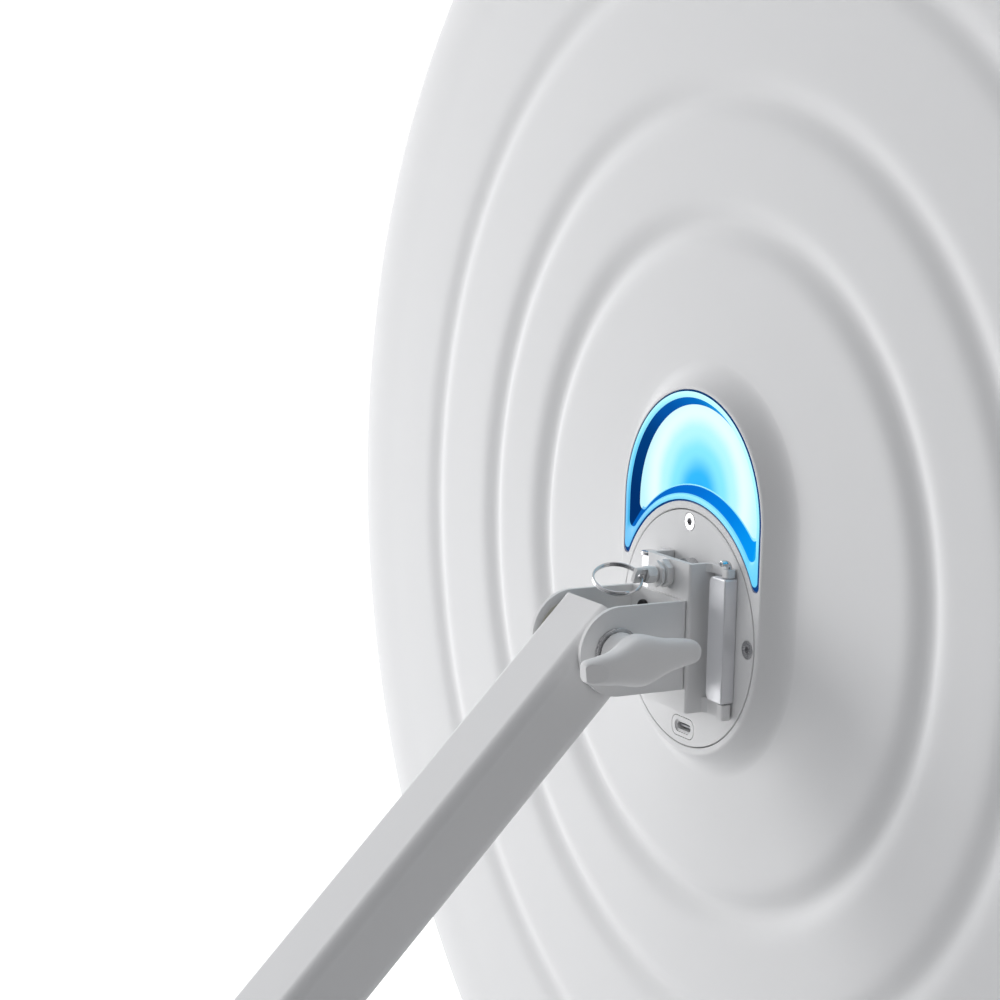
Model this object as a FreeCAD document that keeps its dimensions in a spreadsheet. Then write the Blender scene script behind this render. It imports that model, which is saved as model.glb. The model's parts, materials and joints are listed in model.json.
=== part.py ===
"""Surgical light head on its tilting arm joint.

Head coordinates (local): x to the side, y up, z out of the rear face, origin at the
centre of the round rear cover plate.  Arm coordinates (local): z along the tube away
from the tilt pivot, y out of the tube's upper face, origin on the tilt pivot.
Row frame: +Z up, the lamp shines along -Y, origin on the shoulder of the arm's spigot.
"""
import FreeCAD, Part
import math
import os
import Sketcher

DOC = FreeCAD.newDocument("surgical_light")
SHEET = DOC.addObject("Spreadsheet::Sheet", "Dims")

DIMENSIONS = {
    # rear cover plate and the pill-shaped boss that carries it
    "plate_radius": 40.0, "plate_gap": 0.4, "plate_thick": 3.0, "screw_circle": 35.9,
    "boss_half_width": 42.6, "boss_top": 38.7, "boss_flank": 10.0, "boss_height": 7.0,
    "ledge_radius": 31.0, "ledge_thick": 2.5,
    # crescent status light over the cover plate
    "crescent_outer": 41.0, "crescent_inner": 42.5, "crescent_tip": 19.0,
    "crescent_rim": 2.5, "trough_inset": 5.4, "trough_depth": 3.0, "guide_depth": 7.0,
    # round lamp head
    "head_radius": 293.5, "head_rise": 19.2, "shell_wall": 2.5, "skirt_front": 48.0,
    "hub_radius": 62.0, "groove_half": 8.0, "land_bulge": 0.25,
    "groove_inner": 114.5, "groove_middle": 156.0, "groove_outer": 207.9,
    "land_inner_drop": 8.3, "land_middle_drop": 9.6, "land_outer_drop": 11.6,
    "groove_inner_drop": 11.9, "groove_middle_drop": 12.4, "groove_outer_drop": 13.5,
    "rim_land_radius": 248.0, "rim_land_drop": 12.5, "shoulder_radius": 283.0, "shoulder_drop": 15.5,
    "rim_bend_inset": 2.7, "rim_bend_drop": 19.8, "rim_foot_drop": 27.0,
    "rim_screw_circle": 288.0, "rim_screw_seat": 21.5, "rim_screw_phase": -4.0,
    # light engine behind the front window
    "bezel_inner": 262.0, "bezel_front": 54.0, "window_radius": 270.0, "window_thick": 4.0,
    "window_rear": 47.0, "spreader_radius": 250.0, "spreader_rear": 30.0,
    "spreader_thick": 3.0, "board_thick": 1.6, "core_radius": 60.0, "core_rear": 12.0,
    "core_thick": 4.0, "optic_radius": 18.0, "handle_length": 96.0, "handle_radius": 18.0,
    # hinge bar, hat bracket and latch behind the head
    "bar_height": 5.0, "bar_bottom": -19.0, "bar_top": 22.0, "hinge_side": 27.5,
    "hinge_out": 2.2, "hinge_pin_radius": 1.0, "knuckle_radius": 1.9,
    "hat_left": -10.3, "hat_right": 16.4, "hat_bottom": -24.5, "hat_top": 25.0,
    "hat_out": 9.8, "hat_sheet": 2.0, "hat_lift": 0.3, "tab_tall": 5.0,
    "latch_side": 3.0, "latch_up": 20.0, "latch_nut_radius": 4.75, "latch_nut_thick": 2.6,
    "latch_sleeve_radius": 3.0, "latch_neck": 0.9, "latch_collar_radius": 4.5,
    "latch_collar_thick": 1.1, "latch_head_gap": 0.4, "latch_head_long": 8.0,
    "latch_eye_out": 20.5, "latch_head_radius": 3.05, "latch_pin_radius": 1.5, "ring_radius": 8.0, "ring_wire": 0.8,
    "ring_lean": -25.5,
    # clevis, pivot and wing knob
    "clevis_side": -1.1, "clevis_up": -1.8, "clevis_width": 33.0, "clevis_half_tall": 14.7,
    "clevis_sheet": 1.6, "clevis_end": 34.7, "pivot_out": 36.0, "bolt_radius": 4.0,
    "washer_radius": 8.0, "washer_thick": 0.8, "friction_thick": 0.4,
    "knob_hub_radius": 7.0, "knob_out": 15.5, "wing_half": 21.0, "wing_turn": 3.9,
    # arm tube and its spigot
    "tube_wide": 29.0, "tube_tall": 24.0, "tube_wall": 2.0, "tube_corner": 4.5,
    "tube_overrun": 8.8,
    "arm_length": 180.0, "arm_slope": 46.0, "plug_flange": 4.0, "plug_depth": 26.0,
    "spigot_radius": 8.0, "spigot_length": 35.0,
}
for row, (alias, value) in enumerate(DIMENSIONS.items(), start=1):
    SHEET.set("A%d" % row, alias)
    SHEET.set("B%d" % row, str(value))
    SHEET.setAlias("B%d" % row, alias)
DOC.recompute()

NODES = []
HEAD_TURN = FreeCAD.Rotation(FreeCAD.Vector(0, 1, 1), 180)
RIM_SCREWS = 12
PLATE_SCREW_ANGLES = (0, 90, 180)
OPTIC_RINGS = ((90.0, 8), (150.0, 14), (210.0, 20))
AXIS_TURN = {
    "z": FreeCAD.Rotation(),
    "x": FreeCAD.Rotation(FreeCAD.Vector(0, 1, 0), 90),
    "y": FreeCAD.Rotation(FreeCAD.Vector(1, 0, 0), -90),
}


def size(alias):
    """The number held by one sheet cell."""
    return float(SHEET.get(alias))


def expr(text):
    """Turn words of the form $alias into references to the sheet."""
    return text.replace("$", "Dims.")


def bind(item, prop, value):
    """Set a property to a number, or bind it to an expression of the sheet."""
    if isinstance(value, str):
        item.setExpression(prop, expr(value))
    else:
        item.setExpression(prop, repr(float(value)))


def move(item, at, rotation=FreeCAD.Rotation()):
    """Place an object: its position is bound, its rotation fixed."""
    item.Placement = FreeCAD.Placement(FreeCAD.Vector(), rotation)
    for axis, value in zip("xyz", at):
        bind(item, "Placement.Base." + axis, value)
    return item


def box(at, extent):
    item = DOC.addObject("Part::Box", "box")
    for prop, value in zip(("Length", "Width", "Height"), extent):
        bind(item, prop, value)
    return move(item, at)


def cylinder(at, radius, height, axis="z"):
    item = DOC.addObject("Part::Cylinder", "cylinder")
    bind(item, "Radius", radius)
    bind(item, "Height", height)
    return move(item, at, AXIS_TURN[axis])


def cone(at, radius_start, radius_end, height, axis="z"):
    item = DOC.addObject("Part::Cone", "cone")
    bind(item, "Radius1", radius_start)
    bind(item, "Radius2", radius_end)
    bind(item, "Height", height)
    return move(item, at, AXIS_TURN[axis])


def prism(at, radius, height, turn=0):
    """A hexagonal bar along z; turn is in degrees."""
    item = DOC.addObject("Part::Prism", "prism")
    item.Polygon = 6
    bind(item, "Circumradius", radius)
    bind(item, "Height", height)
    return move(item, at, FreeCAD.Rotation(FreeCAD.Vector(0, 0, 1), turn))


def fuse(*parts):
    item = DOC.addObject("Part::MultiFuse", "fuse")
    item.Shapes = list(parts)
    return item


def group(parts):
    """Separate solids kept together as one sub-part."""
    item = DOC.addObject("Part::Compound", "group")
    item.Links = list(parts)
    return item


def cut(base, *tools):
    item = DOC.addObject("Part::Cut", "cut")
    item.Base = base
    item.Tool = tools[0] if len(tools) == 1 else fuse(*tools)
    return item


def common(first, second):
    item = DOC.addObject("Part::Common", "common")
    item.Base = first
    item.Tool = second
    return item


def tube(at, radius_out, radius_in, height, axis="z"):
    """A plain ring or sleeve."""
    return cut(cylinder(at, radius_out, height, axis), cylinder(at, radius_in, height, axis))


def head_node(item, label, at=("0", "0", "0")):
    """Finish a sub-part drawn in head coordinates, shifted by at."""
    if item.TypeId in ("Part::Box", "Part::Cylinder"):
        item = group([item])
    item.Label = label
    shift = ["(%s)" % expr(value) for value in at]
    base = item.Placement.Rotation
    item.Placement = FreeCAD.Placement(FreeCAD.Vector(), HEAD_TURN.multiply(base))
    plate_out = "-$arm_length * cos($arm_slope * 1deg) - $pivot_out + "
    plate_up = "$arm_length * sin($arm_slope * 1deg) - $clevis_up + "
    item.setExpression("Placement.Base.x", expr("$clevis_side - ") + shift[0])
    item.setExpression("Placement.Base.y", expr(plate_out) + shift[2])
    item.setExpression("Placement.Base.z", expr(plate_up) + shift[1])
    NODES.append(item)
    return item


def arm_node(item, label):
    """Finish a sub-part drawn in arm coordinates."""
    item.Label = label
    slope = FreeCAD.Rotation(FreeCAD.Vector(1, 0, 0), size("arm_slope"))
    item.Placement = FreeCAD.Placement(FreeCAD.Vector(), HEAD_TURN.multiply(slope))
    item.setExpression("Placement.Base.y", expr("-$arm_length * cos($arm_slope * 1deg)"))
    item.setExpression("Placement.Base.z", expr("$arm_length * sin($arm_slope * 1deg)"))
    NODES.append(item)
    return item


def around(count, radius, phase=0.0, centre_up=0.0):
    """Points evenly spaced on a circle, as plain numbers."""
    for index in range(count):
        angle = math.radians(phase + 360.0 * index / count)
        yield radius * math.cos(angle), centre_up + radius * math.sin(angle)


def origin_plane(body, role):
    """One of a body's own origin planes."""
    return next(item for item in body.Origin.OriginFeatures if item.Role == role)


def body_with_sketch(name, role="XY_Plane"):
    """A PartDesign body with one sketch on one of its origin planes."""
    body = DOC.addObject("PartDesign::Body", name + "_body")
    sketch = body.newObject("Sketcher::SketchObject", name + "_sketch")
    sketch.AttachmentSupport = [(origin_plane(body, role), "")]
    sketch.MapMode = "FlatFace"
    return body, sketch


def sketch_circle(sketch, x, y, radius):
    """A circle held at its centre, with its radius bound to the sheet."""
    index = sketch.addGeometry(Part.Circle(FreeCAD.Vector(x, y, 0), FreeCAD.Vector(0, 0, 1), 1.0))
    constraint = sketch.addConstraint(Sketcher.Constraint("Radius", index, 1.0))
    sketch.addConstraint(Sketcher.Constraint("DistanceX", index, 3, x))
    sketch.addConstraint(Sketcher.Constraint("DistanceY", index, 3, y))
    sketch.setExpression("Constraints[%d]" % constraint, expr(radius))
    return index


def disc_body(name, radius, thick, holes=()):
    """A pad of concentric and offset circles; holes are (x, y, radius)."""
    body, sketch = body_with_sketch(name)
    sketch_circle(sketch, 0, 0, radius)
    for hole_x, hole_y, hole_radius in holes:
        sketch_circle(sketch, hole_x, hole_y, hole_radius)
    pad = body.newObject("PartDesign::Pad", name + "_pad")
    pad.Profile = sketch
    pad.setExpression("Length", expr(thick))
    body.Tip = pad
    return body


# ---------------------------------------------------------------- round rear shell

def shell_outline(drop):
    """Rear face from the axis to the rim: crowned lands between three round grooves."""
    def point(radius, depth):
        return FreeCAD.Vector(radius, 0, -depth - drop)

    half = size("groove_half")
    start = (size("hub_radius"), size("boss_height"))
    edges = [Part.LineSegment(point(0, start[1]), point(*start))]
    for name in ("inner", "middle", "outer"):
        radius = size("groove_" + name)
        land = size("land_%s_drop" % name)
        near = (radius - half, land)
        far = (radius + half, land)
        crown = ((start[0] + near[0]) / 2, (start[1] + near[1]) / 2 - size("land_bulge"))
        edges.append(Part.Arc(point(*start), point(*crown), point(*near)))
        bottom = point(radius, size("groove_%s_drop" % name))
        edges.append(Part.Arc(point(*near), bottom, point(*far)))
        start = far
    shoulder = (size("shoulder_radius"), size("shoulder_drop"))
    crown = (size("rim_land_radius"), size("rim_land_drop"))
    edges.append(Part.Arc(point(*start), point(*crown), point(*shoulder)))
    rim = size("head_radius") - drop
    bend = (rim - size("rim_bend_inset"), size("rim_bend_drop"))
    foot = (rim, size("rim_foot_drop"))
    edges.append(Part.Arc(point(*shoulder), point(*bend), point(*foot)))
    return edges


def shell_solid(drop, front):
    """Solid of revolution under the rear face, down to the given front depth."""
    edges = shell_outline(drop)
    rim = edges[-1].EndPoint
    foot = FreeCAD.Vector(rim.x, 0, -front)
    centre = FreeCAD.Vector(0, 0, -front)
    edges += [Part.LineSegment(rim, foot), Part.LineSegment(foot, centre)]
    edges.append(Part.LineSegment(centre, edges[0].StartPoint))
    face = Part.Face(Part.Wire([edge.toShape() for edge in edges]))
    item = DOC.addObject("Part::Feature", "shell_turning")
    item.Shape = face.revolve(FreeCAD.Vector(), FreeCAD.Vector(0, 0, 1), 360)
    return move(item, (0, "$head_rise", 0))


def leaning_block(low, tall, half_low, half_high, start, end):
    """A block from y = start to end, its two sides leaning between two half widths."""
    wedge = DOC.addObject("Part::Wedge", "wedge")
    length = "(%s) - (%s)" % (end, start)
    limits = {
        "Xmin": "-(%s)" % half_low, "Xmax": half_low, "X2min": "-(%s)" % half_high,
        "X2max": half_high, "Ymin": "0", "Ymax": tall, "Zmin": "0", "Z2min": "0",
        "Zmax": length, "Z2max": length,
    }
    for prop, value in limits.items():
        bind(wedge, prop, value)
    return move(wedge, (0, end, low), FreeCAD.Rotation(FreeCAD.Vector(1, 0, 0), 90))


def flank(drop):
    """The pill-shaped boss with its sloping flank."""
    low = "-$boss_height - 1 - %g" % drop
    tall = "$boss_height + 1"
    wide = "$boss_half_width + $boss_flank"
    ends = [
        cone((0, y, low), wide, "$boss_half_width", tall)
        for y in (0, "$boss_top")
    ]
    return fuse(leaning_block(low, tall, wide, "$boss_half_width", "0", "$boss_top"), *ends)


def crescent_trough():
    """The hollow of the status light: its walls lean in towards the floor."""
    low = "-$trough_depth"
    tall = "2 * $trough_depth"
    spread = "(2 * $crescent_rim - $trough_inset)"
    outer_low = "$crescent_outer - $trough_inset"
    outer_high = "$crescent_outer - " + spread
    dome = cone((0, "$boss_top", low), outer_low, outer_high, tall)
    sides = leaning_block(low, tall, outer_low, outer_high, "$crescent_tip", "$boss_top")
    inner_low = "$crescent_inner + $trough_inset"
    inner_high = "$crescent_inner + " + spread
    return cut(fuse(dome, sides), cone((0, 0, low), inner_low, inner_high, tall))


def crescent(inset, depth, height):
    """The crescent outline, set in by inset, from -depth upward."""
    outer = "$crescent_outer - %g" % inset
    inner = "$crescent_inner + %g" % inset
    low = "-%s" % depth
    tip = "$crescent_tip + %g" % inset
    dome = cylinder((0, "$boss_top", low), outer, height)
    sides = box(("-(%s)" % outer, tip, low), ("2 * (%s)" % outer, "$boss_top - (%s)" % tip, height))
    return cut(fuse(dome, sides), cylinder((0, 0, low), inner, height))


def rear_shell():
    wall = size("shell_wall")
    outside = fuse(shell_solid(0, size("skirt_front")), flank(0))
    inside = fuse(shell_solid(wall, size("skirt_front") + 1), flank(wall))
    hollow = cut(outside, inside)
    ledge = cylinder((0, 0, "-$plate_thick - $ledge_thick"), "$crescent_inner - 0.2", "$ledge_thick + 1")
    recess = cylinder((0, 0, "-$plate_thick"), "$plate_radius", "$plate_thick + 1")
    access = cylinder((0, 0, "-$boss_height - 6"), "$ledge_radius", "20")
    port = box((-7.2, -38, -12), (14.4, 8.4, 20))
    screw_holes = [
        cylinder((x, y, -12), 1.7, 20)
        for x, y in plate_screw_places()
    ]
    rim_holes = [cylinder((x, y, -60), 1.7, 70) for x, y in rim_screw_places()]
    rim_seats = [cylinder((x, y, "-$rim_screw_seat"), 3.3, 20) for x, y in rim_screw_places()]
    opening = crescent(0, "(30)", "40")
    tools = [recess, access, port, opening] + screw_holes + rim_holes + rim_seats
    return head_node(cut(fuse(hollow, ledge), *tools), "rear_shell")


def plate_screw_places():
    for angle in PLATE_SCREW_ANGLES:
        turn = math.radians(angle)
        yield size("screw_circle") * math.cos(turn), size("screw_circle") * math.sin(turn)


def rim_screw_places():
    return around(RIM_SCREWS, size("rim_screw_circle"), size("rim_screw_phase"), size("head_rise"))


def rim_screws():
    screws = []
    for x, y in rim_screw_places():
        shank = cylinder((x, y, -44), 1.5, 44 - size("rim_screw_seat"))
        button = cone((x, y, "-$rim_screw_seat"), 2.85, 1.7, 1.9)
        socket = prism((x, y, -20.8), 1.1, 2)
        screws.append(cut(fuse(shank, button), socket))
    head_node(group(screws), "rim_screws")


# ------------------------------------------------------- cover plate, port, status light

def cover_plate():
    holes = [(x, y, "1.7") for x, y in plate_screw_places()]
    holes += [(x, y, "1.6") for x, y in bar_screw_places()]
    pad = disc_body("cover_plate", "$plate_radius - $plate_gap", "$plate_thick", holes)
    sinks = [cone((x, y, "$plate_thick - 1.7"), 1.5, 3.2, 1.7) for x, y in plate_screw_places()]
    port = box((-6.7, -37.3, -1), (13.4, 7.0, 6))
    head_node(cut(pad, port, *sinks), "cover_plate", ("0", "0", "-$plate_thick"))


def plate_screws():
    screws = []
    for x, y in plate_screw_places():
        shank = cylinder((x, y, -11), 1.5, 9.4)
        head = cone((x, y, -1.6), 1.5, 3.05, 1.6)
        screws.append(cut(fuse(shank, head), prism((x, y, -1.2), 1.15, 2)))
    head_node(group(screws), "plate_screws")


def plate_posts():
    posts = []
    for x, y in plate_screw_places():
        height = size("core_rear") - size("plate_thick") - size("ledge_thick")
        posts.append(tube((x, y, "-$core_rear"), 4.0, 1.5, height))
    head_node(group(posts), "plate_posts")


def port_parts():
    centre_up = -33.8
    frame = box((-6.5, centre_up - 3.3, -6), (13.0, 6.6, 6))
    mouth = box((-4.55, centre_up - 1.7, -7), (9.1, 3.4, 8))
    head_node(cut(frame, mouth), "port_frame")
    can = box((-4.47, centre_up - 1.58, -7.5), (8.94, 3.16, 7.1))
    hollow = box((-4.17, centre_up - 1.28, -6.9), (8.34, 2.56, 7))
    head_node(cut(can, hollow), "port_shell")
    head_node(box((-3.34, centre_up - 0.35, -6.9), (6.68, 0.7, 5.2)), "port_tongue")
    head_node(box((-10, centre_up - 8, -9.1), (20, 16, 1.6)), "port_board")


def status_light():
    blank = crescent(0.1, "$guide_depth", "$guide_depth")
    head_node(cut(blank, crescent_trough()), "status_light_guide")
    board = crescent(0.4, "($guide_depth + 2.4)", "$board_thick")
    head_node(board, "status_board")
    leds = []
    for step in range(-3, 4):
        angle = math.radians(90 + 22 * step)
        x = 30 * math.cos(angle)
        y = size("boss_top") + 32 * math.sin(angle)
        leds.append(box((x - 1.5, y - 1.5, "-$guide_depth - 0.8"), (3, 3, 0.8)))
    head_node(group(leds), "status_leds")


# ------------------------------------------------------------------ light engine

def front_parts():
    lift = size("head_rise")
    window = disc_body("front_window", "$window_radius", "$window_thick", [(0, 0, "24.5")])
    head_node(window, "front_window", ("0", "$head_rise", "-$window_rear - $window_thick"))
    gasket = tube((0, lift, "-$window_rear - $window_thick - 1"), "$window_radius", "$window_radius - 6", 1)
    head_node(gasket, "window_gasket")
    lip = tube((0, lift, "-$bezel_front"), "$head_radius", "$bezel_inner", 2)
    wall = tube((0, lift, "-$bezel_front + 2"), "$head_radius", "$window_radius + 0.3", 4)
    posts = []
    for x, y in rim_screw_places():
        posts.append(cylinder((x, y, -49), 2.7, 19))
    bores = [cylinder((x, y, -44), 1.5, 30) for x, y in rim_screw_places()]
    head_node(cut(fuse(lip, wall, *posts), *bores), "front_bezel")


def light_engine():
    lift = size("head_rise")
    hole = [(0, 0, "20.0")]
    spreader = disc_body("heat_spreader", "$spreader_radius", "$spreader_thick", hole)
    head_node(spreader, "heat_spreader", ("0", "$head_rise", "-$spreader_rear - $spreader_thick"))
    board_face = size("spreader_rear") + size("spreader_thick") + size("board_thick")
    optics = []
    chips = []
    for name, (radius, count) in zip(("inner", "middle", "outer"), OPTIC_RINGS):
        ring = tube((0, lift, -board_face), radius + 15, radius - 15, "$board_thick")
        head_node(ring, "led_board_" + name)
        for x, y in around(count, radius, 0, lift):
            chips.append(box((x - 3, y - 3, -board_face - 1), (6, 6, 1)))
            optics.append(cone((x, y, "-$window_rear + 0.5"), "$optic_radius", 6, 46.5 - board_face - 1))
    head_node(group(chips), "led_chips")
    head_node(group(optics), "led_optics")
    driver = box((-60, -110, "-$spreader_rear + 4"), (120, 60, "$board_thick"))
    head_node(driver, "driver_board")
    tall = {(-45, -100): (26, 30, 8), (-8, -98): (20, 20, 9), (22, -100): (28, 14, 7), (22, -76): (18, 18, 6)}
    blocks = [box((x, y, "-$spreader_rear + 4 + $board_thick"), extent) for (x, y), extent in tall.items()]
    head_node(group(blocks), "driver_parts")
    pillars = [cylinder((x, y, "-$spreader_rear"), 3, 4) for x in (-54, 54) for y in (-104, -56)]
    head_node(group(pillars), "driver_pillars")


def core():
    lift = size("head_rise")
    plate = disc_body("core_plate", "$core_radius", "$core_thick", [(0, 0, "20.0")])
    head_node(plate, "core_plate", ("0", "$head_rise", "-$core_rear - $core_thick"))
    posts = []
    for x, y in around(4, 45.0, 45, lift):
        height = "$spreader_rear - $core_rear - $core_thick"
        posts.append(cylinder((x, y, "-$spreader_rear"), 5, height))
    head_node(group(posts), "core_posts")


def handle():
    lift = size("head_rise")
    reach = "$handle_length"
    seat = fuse(
        cylinder((0, lift, "-$bezel_front"), 19.6, "$bezel_front - $spreader_rear"),
        cylinder((0, lift, "-$spreader_rear"), 26, 3),
    )
    head_node(seat, "handle_socket")
    collar = cylinder((0, lift, "-$bezel_front - 6"), 27, 6)
    head_node(collar, "handle_collar")
    grip = fuse(
        cone((0, lift, "-$bezel_front - 6 - %s" % reach), "$handle_radius - 3", "$handle_radius", reach),
        cylinder((0, lift, "-$bezel_front - 12"), 22, 6),
    )
    head_node(grip, "handle_grip")


# -------------------------------------------------------- hinge, hat bracket and latch

def bar_screw_places():
    return [(x, y) for x in (23.6, -18.4) for y in (-11.0, 14.0)]


def side_bars():
    span = "$bar_top - $bar_bottom"
    right = box((20.3, "$bar_bottom", 0), ("$hinge_side + 2.1 - 20.3", span, "$bar_height"))
    bore = cylinder(("$hinge_side", -40, "$hinge_out"), "$hinge_pin_radius + 0.05", 80, "y")
    taps = [cylinder((x, y, -1), 1.25, 4) for x, y in bar_screw_places()[:2]]
    head_node(cut(right, bore, *taps), "hinge_bar")
    left = box((-21, "$bar_bottom", 0), (5, span, "$bar_height"))
    bore = cylinder((-18.4, -40, "$hinge_out + 1.5"), 1.0, 80, "y")
    taps = [cylinder((x, y, -1), 1.25, 3.2) for x, y in bar_screw_places()[2:]]
    head_node(cut(left, bore, *taps), "spare_bar")
    pin = fuse(
        cylinder((-18.4, -21, "$hinge_out + 1.5"), 1.0, 43.0, "y"),
        cylinder((-18.4, "$bar_top", "$hinge_out + 1.5"), 2.9, 1.6, "y"),
    )
    head_node(pin, "spare_pin")
    screws = []
    for x, y in bar_screw_places():
        shank = cylinder((x, y, -3), 1.25, 5)
        screws.append(fuse(shank, cylinder((x, y, -4.8), 2.5, 1.8)))
    head_node(group(screws), "bar_screws")


def hinge_pin():
    straight = cylinder(("$hinge_side", -24.4, "$hinge_out"), "$hinge_pin_radius", 52.4, "y")
    crank = cylinder(("$hinge_side", 27, "$hinge_out"), "$hinge_pin_radius", 3.2)
    head_node(fuse(straight, crank), "hinge_pin")


def hat_bracket():
    tall = "$hat_top - $hat_bottom"
    sheet = "$hat_sheet"
    face = box(("$hat_left", "$hat_bottom", "$hat_out - $hat_sheet"), ("$hat_right - $hat_left", tall, sheet))
    rise = "$hat_out - $hat_lift"
    right = box(("$hat_right - $hat_sheet", "$hat_bottom", "$hat_lift"), (sheet, tall, rise))
    left = box(("$hat_left", "$hat_bottom", "$hat_lift"), (sheet, tall, rise))
    lip = box(("$hat_left - 4", "$hat_bottom", "$hat_lift"), (4, tall, sheet))
    pieces = [right, left, lip]
    for low in ("$hat_bottom", "$hat_top - 2.7"):
        tall_tab = "$tab_tall" if low == "$hat_bottom" else 2.7
        pieces.append(box(("$hat_right", low, "$hat_lift"), ("$hinge_side - $hat_right", tall_tab, sheet)))
        pieces.append(cylinder(("$hinge_side", low, "$hinge_out"), "$knuckle_radius", tall_tab, "y"))
    bore = cylinder(("$hinge_side", -40, "$hinge_out"), "$hinge_pin_radius", 80, "y")
    latch_hole = cylinder(("$latch_side", "$latch_up", 0), "$latch_sleeve_radius", 20)
    taps = [cylinder((x, y, 0), 2, 20) for x, y in clevis_screw_places()]
    head_node(cut(fuse(face, *pieces), bore, latch_hole, *taps), "hat_bracket")


def latch():
    """Ball-lock style pin: nut and sleeve in the bracket, pulled by its ring."""
    at = ("$latch_side", "$latch_up")
    corner_up = 30
    nut = cut(prism(at + ("$hat_out",), "$latch_nut_radius", "$latch_nut_thick", corner_up),
              cylinder(at + ("$hat_out",), "$latch_sleeve_radius", "$latch_nut_thick"))
    head_node(nut, "latch_nut")
    collar_out = "$hat_out + $latch_nut_thick + $latch_neck"
    sleeve_in = 6.0
    pocket_in = 6.9
    pocket_cap = 0.8
    pocket_radius = 2.5
    sleeve = fuse(
        cylinder(at + (sleeve_in,), "$latch_sleeve_radius", "%s - %g" % (collar_out, sleeve_in)),
        prism(at + (collar_out,), "$latch_collar_radius", "$latch_collar_thick", corner_up),
    )
    bore = cylinder(at + (0,), "$latch_pin_radius + 0.05", 40)
    pocket_long = "%s + $latch_collar_thick - %g" % (collar_out, pocket_cap + pocket_in)
    pocket = cylinder(at + (pocket_in,), pocket_radius, pocket_long)
    head_node(cut(sleeve, bore, pocket), "latch_sleeve")
    head_out = "%s + $latch_collar_thick + $latch_head_gap" % collar_out
    tip_in = 1.2
    neck = cylinder(at + (tip_in,), "$latch_pin_radius", "%s - %g" % (head_out, tip_in))
    shoulder = cylinder(at + (7.1,), 2.2, 0.8)
    head = cylinder(at + (head_out,), "$latch_head_radius", "$latch_head_long")
    lean = FreeCAD.Rotation(FreeCAD.Vector(0, 0, 1), size("ring_lean"))
    flats = []
    for side in (0.8, -6.8):
        flat = box((side, -6, -1.9), (6, 12, 8))
        flats.append(move(group([flat]), at + ("$latch_eye_out",), lean))
    hole = cylinder((-5, 0, 0), 1.25, 10, "x")
    turned_hole = move(group([hole]), at + ("$latch_eye_out",), lean)
    head_node(cut(fuse(neck, shoulder, head), turned_hole, *flats), "latch_pin")
    helix = DOC.addObject("Part::Helix", "latch_helix")
    helix.Pitch = 1.35
    helix.Height = 4.4
    helix.Radius = 2.0
    wire = DOC.addObject("Part::RegularPolygon", "latch_wire")
    wire.Polygon = 4
    wire.Circumradius = 0.33
    wire_turn = FreeCAD.Rotation(FreeCAD.Vector(1, 0, 0), 90)
    wire.Placement = FreeCAD.Placement(FreeCAD.Vector(2.0, 0, 0), wire_turn)
    spring = DOC.addObject("Part::Sweep", "latch_coil")
    spring.Sections = [wire]
    spring.Spine = (helix, ["Edge1"])
    spring.Solid = True
    spring.Frenet = True
    head_node(spring, "latch_spring", ("$latch_side", "$latch_up", "8.5"))
    catch = tube(at + (0,), 4.4, 2.1, 3.6)
    head_node(catch, "latch_catch")


def split_ring():
    ring = DOC.addObject("Part::Torus", "split_torus")
    bind(ring, "Radius1", "$ring_radius")
    bind(ring, "Radius2", "$ring_wire")
    normal = FreeCAD.Vector(0.414, 0.895, 0.15)
    ring.Placement = FreeCAD.Placement(FreeCAD.Vector(), FreeCAD.Rotation(FreeCAD.Vector(0, 0, 1), normal))
    head_node(ring, "split_ring", ("$latch_side - 0.99", "$latch_up - 0.86", "$latch_eye_out + 7.89"))


# --------------------------------------------------------------- clevis and wing knob

def clevis_screw_places():
    return [(size("clevis_side") + x, size("clevis_up") + y) for x in (-7.0, 7.0) for y in (-8.2, 8.2)]


def clevis():
    sheet = "$clevis_sheet"
    low = "$clevis_up - $clevis_half_tall"
    tall = "2 * $clevis_half_tall"
    left = "$clevis_side - $clevis_width / 2"
    right = "$clevis_side + $clevis_width / 2 - $clevis_sheet"
    pieces = [box((left, low, "$hat_out"), ("$clevis_width", tall, sheet))]
    for side in (left, right):
        pieces.append(box((side, low, "$hat_out"), (sheet, tall, "$clevis_end - $hat_out")))
        pieces.append(cylinder((side, "$clevis_up", "$clevis_end"), "$clevis_half_tall", sheet, "x"))
    bore = cylinder((-40, "$clevis_up", "$pivot_out"), "$bolt_radius", 80, "x")
    taps = [cylinder((x, y, 0), 2, 20) for x, y in clevis_screw_places()]
    head_node(cut(fuse(*pieces), bore, *taps), "clevis")
    screws = []
    seat = size("hat_out") + size("clevis_sheet")
    for x, y in clevis_screw_places():
        shank = cylinder((x, y, "$hat_out - $hat_sheet"), 2, "$hat_sheet + $clevis_sheet")
        head = cut(cylinder((x, y, seat), 2.8, 1.5), prism((x, y, seat + 0.5), 1.3, 3))
        screws.append(fuse(shank, head))
    head_node(group(screws), "clevis_screws")


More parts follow.
